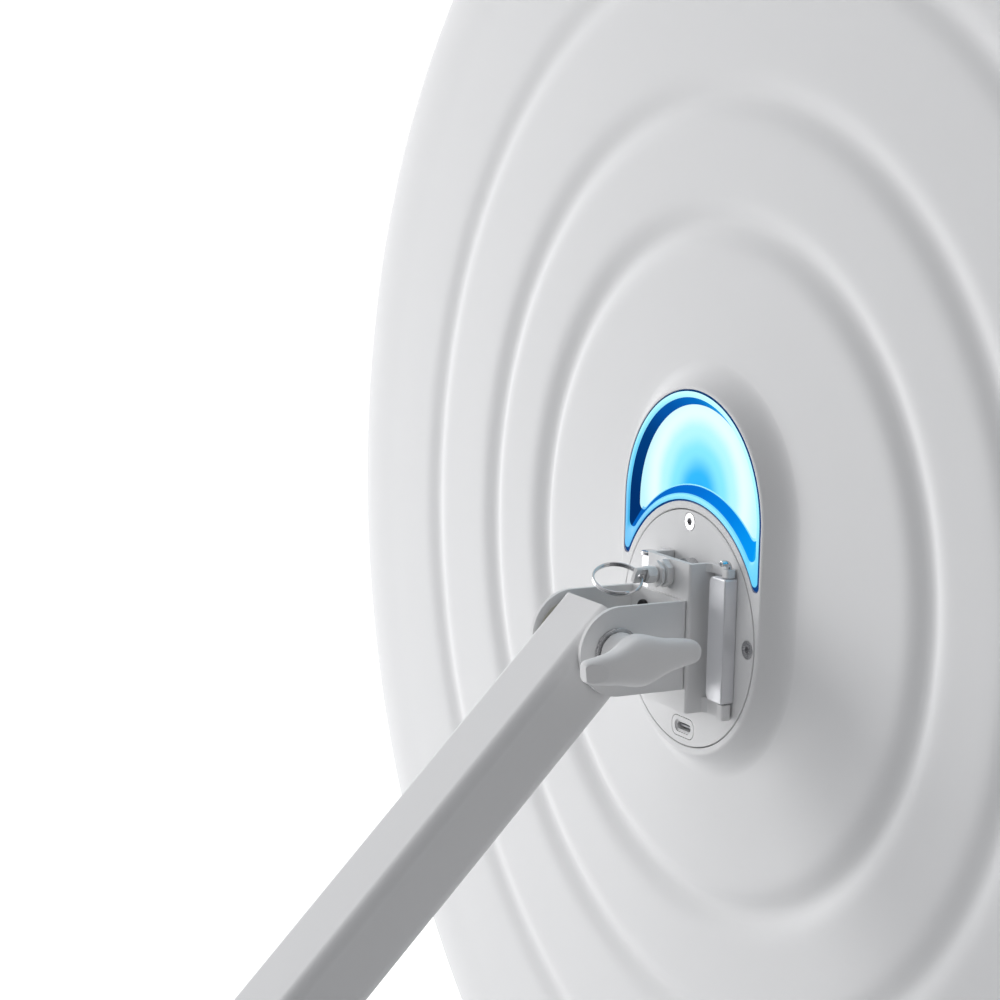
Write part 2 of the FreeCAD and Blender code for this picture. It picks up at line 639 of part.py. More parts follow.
def pivot_parts():
    centre = ("$clevis_up", "$pivot_out")
    far = "$clevis_side - $clevis_width / 2"
    near = "$clevis_side + $clevis_width / 2"
    shank = cylinder((far,) + centre, "$bolt_radius", "$clevis_width + 12", "x")
    dome = cone((far + " - 4",) + centre, 5.5, 7.5, 4, "x")
    head_node(fuse(shank, dome), "pivot_bolt")
    head_node(tube((near,) + centre, "$washer_radius", "$bolt_radius", "$washer_thick", "x"), "knob_washer")
    discs = []
    for side in (far + " + $clevis_sheet", near + " - $clevis_sheet - $friction_thick"):
        discs.append(tube((side,) + centre, 11, "$bolt_radius", "$friction_thick - 0.05", "x"))
    head_node(group(discs), "friction_discs")
    root = near + " + $washer_thick + 0.2"
    hub = cone((root,) + centre, "$knob_hub_radius", 6, "$knob_out - 4", "x")
    wing = box((12, "-$wing_half * 0.2", "-$wing_half"), (7, "$wing_half * 0.4", "$wing_half * 2"))
    lean = FreeCAD.Rotation(FreeCAD.Vector(1, 0, 0), size("wing_turn"))
    wings = move(group([wing]), (near,) + centre, lean)
    insert = cylinder((root,) + centre, 5.2, 11.2, "x")
    head_node(cut(fuse(hub, wings), insert), "wing_knob")
    bore = cylinder((root,) + centre, "$bolt_radius + 0.05", 11.2, "x")
    head_node(cut(cylinder((root,) + centre, 5.2, 11.2, "x"), bore), "knob_insert")


# ------------------------------------------------------------------------------ arm

def rounded_bar(wide, tall, low, length, corner):
    """A rectangular bar along z with rounded long edges."""
    blank = box(("-(%s) / 2" % wide, "-(%s) / 2" % tall, low), (wide, tall, length))
    DOC.recompute()
    item = DOC.addObject("Part::Fillet", "rounded_bar")
    item.Base = blank
    long_edges = [index + 1 for index, edge in enumerate(blank.Shape.Edges)
                  if abs(edge.tangentAt(edge.FirstParameter).z) > 0.99]
    item.Edges = [(index, corner, corner) for index in long_edges]
    return item


def arm():
    corner = size("tube_corner")
    bush_radius = 6.0
    section = ("$tube_wide", "$tube_tall")
    inner = ("$tube_wide - 2 * $tube_wall", "$tube_tall - 2 * $tube_wall")
    length = "$arm_length - $plug_flange + $tube_overrun"
    outside = rounded_bar(*section, "-$tube_overrun", length, corner)
    inside = rounded_bar(*inner, "-$tube_overrun - 1", length + " + 2", corner - 2)
    cross = cylinder((-20, 0, 0), bush_radius, 40, "x")
    screw_at = "$arm_length - 18"
    side_holes = cylinder((-20, 0, screw_at), 2, 40, "x")
    arm_node(cut(outside, inside, cross, side_holes), "arm_tube")
    half = "$tube_wide / 2"
    bush = tube(("-" + half, 0, 0), bush_radius, "$bolt_radius + 0.06", "$tube_wide", "x")
    arm_node(bush, "pivot_bush")
    cap = rounded_bar(*inner, "-$tube_overrun", "1.6", corner - 2)
    arm_node(cap, "tube_cap")
    core_low = "$arm_length - $plug_depth - $plug_flange"
    core_bar = rounded_bar(*inner, core_low, "$plug_depth", corner - 2)
    flange = rounded_bar(*section, "$arm_length - $plug_flange", "$plug_flange", corner)
    spigot = cylinder((0, 0, "$arm_length"), "$spigot_radius", "$spigot_length")
    groove = tube((0, 0, "$arm_length + 24"), "$spigot_radius + 1", "$spigot_radius - 1.5", 4)
    plug_bore = cylinder((-20, 0, screw_at), 2, 40, "x")
    arm_node(cut(fuse(core_bar, flange, spigot), groove, plug_bore), "arm_spigot")
    screws = []
    for start, flip in (("-" + half, 1), (half, -1)):
        shank_start = start if flip > 0 else half + " - 7"
        head_start = start + " - 2.2" if flip > 0 else half
        shank = cylinder((shank_start, 0, screw_at), 2, 7, "x")
        screws.append(fuse(shank, cylinder((head_start, 0, screw_at), 3.5, 2.2, "x")))
    arm_node(group(screws), "plug_screws")


def check_and_export():
    """Refuse failed features, then write one file for each sub-part."""
    DOC.recompute()
    for item in DOC.Objects:
        if "Invalid" in item.State or "Error" in item.State:
            raise RuntimeError("failed feature: %s %s" % (item.Name, item.Label))
    labels = [node.Label for node in NODES]
    if len(set(labels)) != len(labels):
        raise RuntimeError("two sub-parts share a label")
    for node in NODES:
        if node.Shape.isNull() or not node.Shape.isValid() or not node.Shape.Solids:
            raise RuntimeError("bad shape: " + node.Label)
    os.makedirs("parts", exist_ok=True)
    for node in NODES:
        node.Shape.exportStep("parts/%s.step" % node.Label)
        print(node.Label, len(node.Shape.Solids), round(node.Shape.Volume, 1))


rear_shell()
rim_screws()
cover_plate()
plate_screws()
plate_posts()
port_parts()
status_light()
front_parts()
light_engine()
core()
handle()
side_bars()
hinge_pin()
hat_bracket()
latch()
split_ring()
clevis()
pivot_parts()
arm()
check_and_export()
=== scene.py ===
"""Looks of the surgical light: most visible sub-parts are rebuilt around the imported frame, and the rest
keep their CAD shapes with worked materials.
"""
import json
import math
import bmesh
import bpy
from mathutils import Matrix, Vector

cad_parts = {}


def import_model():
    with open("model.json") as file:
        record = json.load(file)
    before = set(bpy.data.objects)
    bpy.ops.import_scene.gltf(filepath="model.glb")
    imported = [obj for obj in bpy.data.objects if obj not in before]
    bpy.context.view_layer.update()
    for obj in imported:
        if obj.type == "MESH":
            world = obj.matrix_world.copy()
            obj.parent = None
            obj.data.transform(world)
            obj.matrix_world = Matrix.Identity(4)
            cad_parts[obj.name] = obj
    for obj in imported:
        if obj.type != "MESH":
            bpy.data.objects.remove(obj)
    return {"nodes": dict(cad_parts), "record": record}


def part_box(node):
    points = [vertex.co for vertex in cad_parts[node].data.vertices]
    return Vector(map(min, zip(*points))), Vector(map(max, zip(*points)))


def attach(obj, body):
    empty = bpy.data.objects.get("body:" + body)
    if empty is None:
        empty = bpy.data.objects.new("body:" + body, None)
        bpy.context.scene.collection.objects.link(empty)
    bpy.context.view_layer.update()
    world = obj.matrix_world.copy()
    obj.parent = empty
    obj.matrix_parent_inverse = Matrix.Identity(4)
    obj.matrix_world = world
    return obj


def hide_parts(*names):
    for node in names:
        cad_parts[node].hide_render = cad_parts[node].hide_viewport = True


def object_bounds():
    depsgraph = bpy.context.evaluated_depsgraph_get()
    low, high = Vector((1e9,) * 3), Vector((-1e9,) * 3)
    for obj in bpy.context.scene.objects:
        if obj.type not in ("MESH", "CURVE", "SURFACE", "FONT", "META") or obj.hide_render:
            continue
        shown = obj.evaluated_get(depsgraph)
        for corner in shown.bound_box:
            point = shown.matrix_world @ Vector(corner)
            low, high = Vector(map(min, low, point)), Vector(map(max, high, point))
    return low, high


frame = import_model()
CAD_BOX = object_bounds()

# ------------------------------------------------------------------ places, from the frame
MM = 0.001
PLATE_LO, PLATE_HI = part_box("cover_plate")
CENTRE = Vector(((PLATE_LO.x + PLATE_HI.x) / 2, PLATE_HI.y, (PLATE_LO.z + PLATE_HI.z) / 2))
PLATE_R = (PLATE_HI.x - PLATE_LO.x) / 2 / MM
HEAD = Matrix(((-MM, 0, 0, CENTRE.x), (0, 0, MM, CENTRE.y), (0, MM, 0, CENTRE.z), (0, 0, 0, 1)))
BOLT_LO, BOLT_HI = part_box("pivot_bolt")
PIVOT = (BOLT_LO + BOLT_HI) / 2
ARM_LENGTH = math.hypot(PIVOT.y, PIVOT.z) / MM
SLOPE = math.atan2(PIVOT.z, -PIVOT.y)
TURN = Matrix(((-1, 0, 0), (0, 0, 1), (0, 1, 0))).to_4x4()
ARM = (Matrix.Translation((0, PIVOT.y, PIVOT.z)) @ TURN @ Matrix.Rotation(SLOPE, 4, "X")
       @ Matrix.Scale(MM, 4))


def local_box(node):
    """Lowest and highest corner of a node in head coordinates, in millimetres."""
    a, b = (HEAD.inverted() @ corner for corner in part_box(node))
    return Vector(map(min, a, b)), Vector(map(max, a, b))


# ------------------------------------------------------------------ materials
def finish_material(name, dark, light, rough, metal=0.0, cloud=40.0, grain=1800.0, bump=0.06,
                    stretch=(1, 1, 1), coat=0.0, ior=1.5, transmission=0.0):
    """A surface whose colour drifts a little, with uneven gloss and a fine grain."""
    material = bpy.data.materials.new(name)
    material.use_nodes = True
    tree = material.node_tree
    shader = tree.nodes["Principled BSDF"]
    place = tree.nodes.new("ShaderNodeTexCoord")
    scale = tree.nodes.new("ShaderNodeMapping")
    scale.inputs["Scale"].default_value = stretch
    tree.links.new(place.outputs["Object"], scale.inputs["Vector"])

    def noise(size, detail):
        node = tree.nodes.new("ShaderNodeTexNoise")
        node.inputs["Scale"].default_value = size
        node.inputs["Detail"].default_value = detail
        tree.links.new(scale.outputs["Vector"], node.inputs["Vector"])
        return node.outputs["Fac"]

    ramp = tree.nodes.new("ShaderNodeValToRGB")
    ramp.color_ramp.elements[0].position = 0.3
    ramp.color_ramp.elements[0].color = (*dark, 1)
    ramp.color_ramp.elements[1].position = 0.7
    ramp.color_ramp.elements[1].color = (*light, 1)
    tree.links.new(noise(cloud, 4), ramp.inputs["Fac"])
    tree.links.new(ramp.outputs["Color"], shader.inputs["Base Color"])
    gloss = tree.nodes.new("ShaderNodeMapRange")
    gloss.inputs["From Min"].default_value = 0.3
    gloss.inputs["From Max"].default_value = 0.7
    gloss.inputs["To Min"].default_value = rough[0]
    gloss.inputs["To Max"].default_value = rough[1]
    tree.links.new(noise(cloud * 6, 5), gloss.inputs["Value"])
    tree.links.new(gloss.outputs["Result"], shader.inputs["Roughness"])
    relief = tree.nodes.new("ShaderNodeBump")
    relief.inputs["Strength"].default_value = bump
    relief.inputs["Distance"].default_value = 0.0002
    tree.links.new(noise(grain, 3), relief.inputs["Height"])
    tree.links.new(relief.outputs["Normal"], shader.inputs["Normal"])
    shader.inputs["Metallic"].default_value = metal
    shader.inputs["Coat Weight"].default_value = coat
    shader.inputs["IOR"].default_value = ior
    shader.inputs["Transmission Weight"].default_value = transmission
    return material


FINISHES = {  # darkest and lightest colour, range of roughness, options
    "white_shell": ((0.80, 0.81, 0.835), (0.83, 0.838, 0.86), (0.36, 0.44), dict(coat=0.15, bump=0.03)),
    "white_plate": ((0.80, 0.81, 0.83), (0.84, 0.845, 0.86), (0.38, 0.5), dict(grain=2600, bump=0.08)),
    "satin_alu": ((0.52, 0.528, 0.545), (0.59, 0.598, 0.615), (0.34, 0.44),
                  dict(metal=1, grain=3200, bump=0.1)),
    "arm_alu": ((0.28, 0.289, 0.315), (0.322, 0.331, 0.358), (0.36, 0.46),
                dict(metal=0.9, grain=3200, bump=0.1)),
    "cast_alu": ((0.74, 0.748, 0.775), (0.80, 0.808, 0.835), (0.38, 0.5),
                 dict(metal=0.2, grain=1500, bump=0.14)),
    "bar_alu": ((0.78, 0.785, 0.81), (0.84, 0.845, 0.865), (0.34, 0.44),
                dict(metal=0.4, grain=2600, bump=0.08)),
    "steel": ((0.50, 0.50, 0.51), (0.60, 0.60, 0.61), (0.22, 0.34),
              dict(metal=1, grain=2400, bump=0.08, stretch=(1, 1, 6))),
    "dark_steel": ((0.075, 0.075, 0.083), (0.12, 0.12, 0.13), (0.26, 0.38),
                   dict(metal=1, grain=2400, bump=0.08)),
    "black_oxide": ((0.015, 0.015, 0.017), (0.03, 0.03, 0.033), (0.28, 0.4),
                    dict(metal=0.6, grain=2400, bump=0.1)),
    "chrome": ((0.60, 0.60, 0.61), (0.68, 0.68, 0.69), (0.05, 0.11), dict(metal=1, grain=900, bump=0.03)),
    "brass": ((0.60, 0.42, 0.16), (0.72, 0.52, 0.22), (0.22, 0.36), dict(metal=1)),
    "bearing": ((0.62, 0.60, 0.52), (0.70, 0.68, 0.60), (0.4, 0.5), {}),
    "black_plastic": ((0.012, 0.012, 0.014), (0.026, 0.026, 0.029), (0.32, 0.46),
                      dict(bump=0.16, grain=2200)),
    "grey_plastic": ((0.26, 0.27, 0.285), (0.31, 0.32, 0.335), (0.4, 0.52), dict(bump=0.16, grain=2000)),
    "rubber": ((0.02, 0.02, 0.021), (0.04, 0.04, 0.042), (0.6, 0.75), dict(bump=0.2, grain=2500)),
    "clear": ((0.93, 0.95, 0.96), (0.96, 0.975, 0.98), (0.03, 0.06),
              dict(bump=0.01, ior=1.49, transmission=0.96)),
    "optic": ((0.95, 0.96, 0.97), (0.98, 0.985, 0.99), (0.03, 0.07),
              dict(bump=0.02, ior=1.49, transmission=0.9)),
    "pcb_green": ((0.01, 0.09, 0.035), (0.02, 0.15, 0.06), (0.25, 0.4), dict(cloud=260, coat=0.4)),
    "pcb_white": ((0.72, 0.73, 0.72), (0.80, 0.81, 0.80), (0.4, 0.5), dict(cloud=260)),
    "floor": ((0.90, 0.905, 0.91), (0.93, 0.932, 0.935), (0.5, 0.6), dict(cloud=3, grain=120, bump=0.02)),
}
LONG_NAMES = {
    "chrome": "bright_chrome", "brass": "brass_insert", "bearing": "bearing_plastic",
    "rubber": "seal_rubber", "clear": "window_clear", "optic": "optic_clear",
    "pcb_green": "board_green", "pcb_white": "board_white", "floor": "floor_pale",
}
MATERIALS = {
    key: finish_material(LONG_NAMES.get(key, key), dark, light, rough, **options)
    for key, (dark, light, rough, options) in FINISHES.items()
}


def led_material(name, colour, strength):
    """A small lamp: a domed phosphor that glows unevenly."""
    material = finish_material(name, tuple(0.7 * c for c in colour), colour, (0.3, 0.4), cloud=900)
    shader = material.node_tree.nodes["Principled BSDF"]
    ramp = next(n for n in material.node_tree.nodes if n.type == "VALTORGB")
    material.node_tree.links.new(ramp.outputs["Color"], shader.inputs["Emission Color"])
    shader.inputs["Emission Strength"].default_value = strength
    return material


MATERIALS["led_yellow"] = led_material("led_yellow", (0.95, 0.72, 0.18), 0.15)
MATERIALS["led_blue"] = led_material("led_blue", (0.05, 0.35, 1.0), 2.0)


def glow_material(name, stops, strength, axis, centre, reach, rough=0.3, base=0.08, gloss=0.12):
    """Lit plastic: its glow runs through colour stops along a line or out from a point."""
    material = bpy.data.materials.new(name)
    material.use_nodes = True
    tree = material.node_tree
    shader = tree.nodes["Principled BSDF"]
    place = tree.nodes.new("ShaderNodeTexCoord")
    shift = tree.nodes.new("ShaderNodeVectorMath")
    shift.operation = "SUBTRACT"
    shift.inputs[1].default_value = HEAD @ Vector(centre)
    tree.links.new(place.outputs["Object"], shift.inputs[0])
    measure = tree.nodes.new("ShaderNodeVectorMath")
    if axis is None:
        measure.operation = "LENGTH"
        value = measure.outputs["Value"]
    else:
        measure.operation = "DOT_PRODUCT"
        measure.inputs[1].default_value = TURN.to_3x3() @ Vector(axis).normalized()
        value = measure.outputs["Value"]
    tree.links.new(shift.outputs["Vector"], measure.inputs[0])
    span = tree.nodes.new("ShaderNodeMapRange")
    span.inputs["From Min"].default_value = reach[0] * MM
    span.inputs["From Max"].default_value = reach[1] * MM
    tree.links.new(value, span.inputs["Value"])
    ripple = tree.nodes.new("ShaderNodeTexNoise")
    ripple.inputs["Scale"].default_value = 90
    tree.links.new(place.outputs["Object"], ripple.inputs["Vector"])
    soft = tree.nodes.new("ShaderNodeMath")
    soft.operation = "MULTIPLY_ADD"
    soft.inputs[1].default_value = 0.05
    tree.links.new(ripple.outputs["Fac"], soft.inputs[0])
    tree.links.new(span.outputs["Result"], soft.inputs[2])
    ramp = tree.nodes.new("ShaderNodeValToRGB")
    ramp.color_ramp.interpolation = "EASE"
    while len(ramp.color_ramp.elements) < len(stops):
        ramp.color_ramp.elements.new(0.5)
    for element, (position, colour) in zip(ramp.color_ramp.elements, stops):
        element.position = position
        element.color = (*colour, 1)
    tree.links.new(soft.outputs["Value"], ramp.inputs["Fac"])
    dim = tree.nodes.new("ShaderNodeMix")
    dim.data_type = "RGBA"
    dim.inputs["Factor"].default_value = 1 - base
    dim.inputs["B"].default_value = (0, 0, 0, 1)
    tree.links.new(ramp.outputs["Color"], dim.inputs["A"])
    tree.links.new(dim.outputs["Result"], shader.inputs["Base Color"])
    tree.links.new(ramp.outputs["Color"], shader.inputs["Emission Color"])
    shader.inputs["Emission Strength"].default_value = strength
    shader.inputs["Roughness"].default_value = rough
    shader.inputs["Specular IOR Level"].default_value = gloss
    return material


# ------------------------------------------------------------------ mesh helpers
def to_object(bm, name):
    mesh = bpy.data.meshes.new(name)
    bmesh.ops.recalc_face_normals(bm, faces=bm.faces)
    bm.to_mesh(mesh)
    bm.free()
    item = bpy.data.objects.new(name, mesh)
    bpy.context.scene.collection.objects.link(item)
    return item


def baked(item):
    """Apply an object's modifiers to its mesh."""
    bpy.context.view_layer.update()
    graph = bpy.context.evaluated_depsgraph_get()
    mesh = bpy.data.meshes.new_from_object(item.evaluated_get(graph))
    item.modifiers.clear()
    old = item.data
    item.data = mesh
    bpy.data.meshes.remove(old)
    return item


def combine(target, tools, operation):
    for tool in tools:
        step = target.modifiers.new("solid", "BOOLEAN")
        step.operation = operation
        step.solver = "MANIFOLD"
        step.object = tool
    baked(target)
    for tool in tools:
        mesh = tool.data
        bpy.data.objects.remove(tool)
        bpy.data.meshes.remove(mesh)
    return target


def cut(target, *tools):
    return combine(target, tools, "DIFFERENCE")


def fuse(target, *tools):
    return combine(target, tools, "UNION")


def common(target, *tools):
    return combine(target, tools, "INTERSECT")


def add_material(item, keys):
    for key in keys:
        item.data.materials.append(MATERIALS[key])


def publish(item, name, body, keys, nodes=(), matrix=HEAD, edge=0.0, angle=32, segments=3):
    """Put a drawn piece in its place, round its edges and hand it to the frame."""
    item.name = name
    item.data.name = name
    item.data.transform(matrix)
    if matrix.determinant() < 0:
        item.data.flip_normals()
    add_material(item, keys)
    bm = bmesh.new()
    bm.from_mesh(item.data)
    bmesh.ops.remove_doubles(bm, verts=bm.verts, dist=1e-6)
    bmesh.ops.dissolve_degenerate(bm, edges=bm.edges, dist=1e-6)
    limit = math.radians(angle)
    for part in bm.faces:
        part.smooth = True
    for part in bm.edges:
        part.smooth = part.is_manifold and part.calc_face_angle(0) < limit
    bm.to_mesh(item.data)
    bm.free()
    if edge:
        rounding = item.modifiers.new("edges", "BEVEL")
        rounding.width = edge * MM
        rounding.segments = segments
        rounding.limit_method = "ANGLE"
        rounding.angle_limit = limit
        rounding.harden_normals = False
        rounding.miter_outer = "MITER_ARC"
        rounding.use_clamp_overlap = True
    shade = item.modifiers.new("shade", "WEIGHTED_NORMAL")
    shade.keep_sharp = not edge
    shade.weight = 80
    if edge:
        for part in item.data.edges:
            part.use_edge_sharp = False
    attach(item, body)
    if nodes:
        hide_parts(*nodes)
    return item


def keep_node(node, key):
    """A CAD node whose shape is right gets a worked material."""
    item = frame["nodes"][node]
    item.data.materials.clear()
    item.data.materials.append(MATERIALS[key])


def copy_node(node, name, body, key, edge=0.3, angle=32):
    """A bevelled copy of a CAD node stands for it."""
    source = frame["nodes"][node]
    mesh = source.data.copy()
    mesh.materials.clear()
    bm = bmesh.new()
    bm.from_mesh(mesh)
    bmesh.ops.remove_doubles(bm, verts=bm.verts, dist=2e-6)
    bmesh.ops.dissolve_limit(bm, angle_limit=math.radians(1.0), verts=bm.verts, edges=bm.edges)
    bm.to_mesh(mesh)
    bm.free()
    item = bpy.data.objects.new(name, mesh)
    bpy.context.scene.collection.objects.link(item)
    return publish(item, name, body, [key], [node], Matrix.Identity(4), edge, angle)


PLANES = {
    "uv": Matrix.Identity(4),
    "un": Matrix(((1, 0, 0, 0), (0, 0, 1, 0), (0, 1, 0, 0), (0, 0, 0, 1))),
    "nv": Matrix(((0, 0, 1, 0), (0, 1, 0, 0), (1, 0, 0, 0), (0, 0, 0, 1))),
}


def extrude(outline, low, high, plane="uv"):
    """A closed outline drawn in one plane, carried from low to high across it."""
    bm = bmesh.new()
    rings = []
    for level in (low, high):
        rings.append([bm.verts.new(PLANES[plane] @ Vector((x, y, level))) for x, y in outline])
    bm.faces.new(rings[0])
    bm.faces.new(list(reversed(rings[1])))
    count = len(outline)
    for index in range(count):
        after = (index + 1) % count
        bm.faces.new((rings[0][index], rings[0][after], rings[1][after], rings[1][index]))
    return to_object(bm, "blank")


def rounded(points, radii, steps=8):
    """An outline with its corners rounded; a radius of 0 leaves a corner sharp."""
    out = []
    count = len(points)
    radii = [radii] * count if isinstance(radii, (int, float)) else radii
    for index, (point, radius) in enumerate(zip(points, radii)):
        here = Vector(point)
        back = (Vector(points[index - 1]) - here).normalized()
        ahead = (Vector(points[(index + 1) % count]) - here).normalized()
        if radius <= 0:
            out.append(tuple(here))
            continue
        half = math.acos(max(-1, min(1, back.dot(ahead)))) / 2
        centre = here + (back + ahead).normalized() * radius / math.sin(half)
        start = here + back * radius / math.tan(half) - centre
        end = here + ahead * radius / math.tan(half) - centre
        sweep = start.angle_signed(end)
        for step in range(steps + 1):
            turn = Matrix.Rotation(-sweep * step / steps, 2)
            out.append(tuple(centre + turn @ start))
    return out


def rectangle(x0, y0, x1, y1, radii=0.0, steps=8):
    return rounded([(x0, y0), (x1, y0), (x1, y1), (x0, y1)], radii, steps)


def lathe(profile, at=(0, 0, 0), axis="n", steps=64):
    """Turn a closed (radius, height) profile about an axis through at."""
    bm = bmesh.new()
    rings = []
    for radius, height in profile:
        if radius < 1e-6:
            rings.append([bm.verts.new((0, 0, height))])
        else:
            rings.append([bm.verts.new((radius * math.cos(2 * math.pi * k / steps),
                                        radius * math.sin(2 * math.pi * k / steps), height))
                          for k in range(steps)])
    closed = rings[0][0].co.xy.length > 1e-6
    pairs = list(zip(rings, rings[1:] + ([rings[0]] if closed else [])))
    for low, high in pairs:
        for k in range(steps):
            j = (k + 1) % steps
            if len(low) == 1 and len(high) == 1:
                continue
            if len(low) == 1:
                bm.faces.new((low[0], high[j], high[k]))
            elif len(high) == 1:
                bm.faces.new((low[k], low[j], high[0]))
            else:
                bm.faces.new((low[k], low[j], high[j], high[k]))
    turn = {"n": Matrix.Identity(4), "u": Matrix.Rotation(math.pi / 2, 4, "Y"),
            "v": Matrix.Rotation(-math.pi / 2, 4, "X")}[axis]
    bmesh.ops.transform(bm, matrix=Matrix.Translation(at) @ turn, verts=bm.verts)
    return to_object(bm, "blank")


def pipe(bore, radius, low, high, at=(0, 0, 0), axis="n", steps=64):
    """A plain tube about an axis through at, or a solid rod where the bore is 0."""
    return lathe([(bore, low), (radius, low), (radius, high), (bore, high)], at, axis, steps)


def soft_profile(points, radii, steps=5):
    """A lathe profile from the axis out and back, with its corners rounded."""
    out = [points[0]]
    for index in range(1, len(points) - 1):
        radius = radii[index] if isinstance(radii, (list, tuple)) else radii
        corner = rounded([points[index - 1], points[index], points[index + 1]], [0, radius, 0], steps)
        out += corner[1:-1]
    out.append(points[-1])
    return out


def sweep(path, radius, steps=16, closed=False, cap=True):
    """A round wire along a path of points."""
    bm = bmesh.new()
    path = [Vector(p) for p in path]
    count = len(path)
    rings = []
    frame_up = None
    for index, point in enumerate(path):
        if closed:
            along = (path[(index + 1) % count] - path[index - 1]).normalized()
        else:
            along = (path[min(index + 1, count - 1)] - path[max(index - 1, 0)]).normalized()
        if frame_up is None:
            frame_up = along.orthogonal().normalized()
        frame_up = (frame_up - along * frame_up.dot(along)).normalized()
        side = along.cross(frame_up)
        size = radius(index / (count - 1)) if callable(radius) else radius
        rings.append([bm.verts.new(point + size * (frame_up * math.cos(2 * math.pi * k / steps)
                                                   + side * math.sin(2 * math.pi * k / steps)))
                      for k in range(steps)])
    pairs = list(zip(rings, rings[1:])) + ([(rings[-1], rings[0])] if closed else [])
    for low, high in pairs:
        for k in range(steps):
            j = (k + 1) % steps
            bm.faces.new((low[k], low[j], high[j], high[k]))
    if cap and not closed:
        bm.faces.new(rings[0])
        bm.faces.new(list(reversed(rings[-1])))
    return to_object(bm, "blank")


def joined(items):
    """Separate solids kept together in one piece."""
    bm = bmesh.new()
    for item in items:
        bm.from_mesh(item.data)
        mesh = item.data
        bpy.data.objects.remove(item)
        bpy.data.meshes.remove(mesh)
    mesh = bpy.data.meshes.new("joined")
    bm.to_mesh(mesh)
    bm.free()
    item = bpy.data.objects.new("joined", mesh)
    bpy.context.scene.collection.objects.link(item)
    return item


def moved(item, at, turn=Matrix.Identity(4)):
    item.data.transform(Matrix.Translation(at) @ turn)
    return item


def hex_outline(x, y, radius, phase=0.0):
    return [(x + radius * math.cos(math.radians(phase + 60 * k)),
             y + radius * math.sin(math.radians(phase + 60 * k)))
            for k in range(6)]


# ------------------------------------------------------------------ rear shell
RIM_LO, RIM_HI = local_box("front_bezel")
RISE = (RIM_LO.y + RIM_HI.y) / 2
HEAD_R = (RIM_HI.x - RIM_LO.x) / 2
BOSS_R = 42.6
BOSS_TOP = 38.7
BOSS_HALF = BOSS_TOP / 2
BOSS_DROP = 7.0
SKIRT = 48.0
WALL = 2.5
FACE = ((0.0, 7.0), (62.0, 7.0), (114.5, 8.3), (156.0, 9.6), (207.9, 11.6), (248.0, 12.5),
        (276.0, 13.9), (290.0, 20.0))
GROOVES = ((114.5, 3.6), (156.0, 2.8), (207.9, 1.9))
GROOVE_WIDTH = 5.5


def ripple(radius):
    """Depth of the rear face: a shallow dome with three round grooves."""
    k = max(index for index in range(len(FACE) - 1) if FACE[index][0] <= radius)
    before = FACE[max(k - 1, 0)]
    (r0, d0), (r1, d1) = FACE[k], FACE[k + 1]
    after = FACE[min(k + 2, len(FACE) - 1)]
    span = r1 - r0
    slope0 = (d1 - before[1]) / (r1 - before[0]) if k else 0.0
    slope1 = (after[1] - d0) / (after[0] - r0)
    t = (radius - r0) / span
    depth = ((2 * t ** 3 - 3 * t * t + 1) * d0 + (t ** 3 - 2 * t * t + t) * span * slope0
             + (3 * t * t - 2 * t ** 3) * d1 + (t ** 3 - t * t) * span * slope1)
    for at, drop in GROOVES:
        depth += drop * math.exp(-((radius - at) / GROOVE_WIDTH) ** 2)
    return depth


def smooth(t):
    t = max(0.0, min(1.0, t))
    return t * t * (3 - 2 * t)


def shell_stations():
    """(offset, depth, straight half) of each ring of the outside, from the boss to the skirt."""
    stations = []
    edge = 1.3
    for step in range(7):
        turn = math.radians(8 + 50 * step / 6)
        stations.append((BOSS_R - edge + edge * math.sin(turn) * 1.15, edge * (1 - math.cos(turn)),
                         BOSS_HALF))
    run = 10.5
    for step in range(1, 19):
        t = step / 18
        rise = 0.55 + (BOSS_DROP - 0.55) * (1 - (1 - t) ** 1.9)
        stations.append((BOSS_R + run * t, rise, BOSS_HALF * (1 - 0.12 * t)))
    start = BOSS_R + run
    radii = []
    radius = start + 1.5
    while radius < 276:
        radii.append(radius)
        radius += 1.5
    for radius in radii:
        blend = 1 - smooth((radius - start) / 50)
        stations.append((radius, ripple(radius) if radius > 60 else BOSS_DROP, BOSS_HALF * 0.88 * blend))
    corner = [(276, ripple(276)), (281, 15.0), (285.5, 16.9), (289, 19.3), (291.6, 22.2),
              (293.0, 25.4), (293.5, 29.0)]
    for index in range(len(corner) - 1):
        p0 = Vector(corner[max(index - 1, 0)])
        p1 = Vector(corner[index])
        p2 = Vector(corner[index + 1])
        p3 = Vector(corner[min(index + 2, len(corner) - 1)])
        for step in range(4):
            t = step / 4
            q = 0.5 * (2 * p1 + (p2 - p0) * t + (2 * p0 - 5 * p1 + 4 * p2 - p3) * t * t
                       + (3 * p1 - p0 - 3 * p2 + p3) * t ** 3)
            stations.append((q.x, q.y, 0))
    stations += [(HEAD_R, 29.0, 0), (HEAD_R, 38.0, 0), (HEAD_R, SKIRT - 0.5, 0),
                 (HEAD_R - 0.15, SKIRT - 0.15, 0)]
    return stations


def stadium(offset, half, count=480):
    """Points at one distance from an upright segment, evenly spaced, from the right side."""
    length = 4 * half + 2 * math.pi * offset
    for k in range(count):
        s = length * k / count
        quarter = math.pi * offset
        if s < half:
            yield offset, s
        elif s < half + quarter:
            a = (s - half) / offset
            yield offset * math.cos(a), half + offset * math.sin(a)
        elif s < 3 * half + quarter:
            yield -offset, half - (s - half - quarter)
        elif s < 3 * half + 2 * quarter:
            a = math.pi + (s - 3 * half - quarter) / offset
            yield offset * math.cos(a), -half + offset * math.sin(a)
        else:
            yield offset, s - length


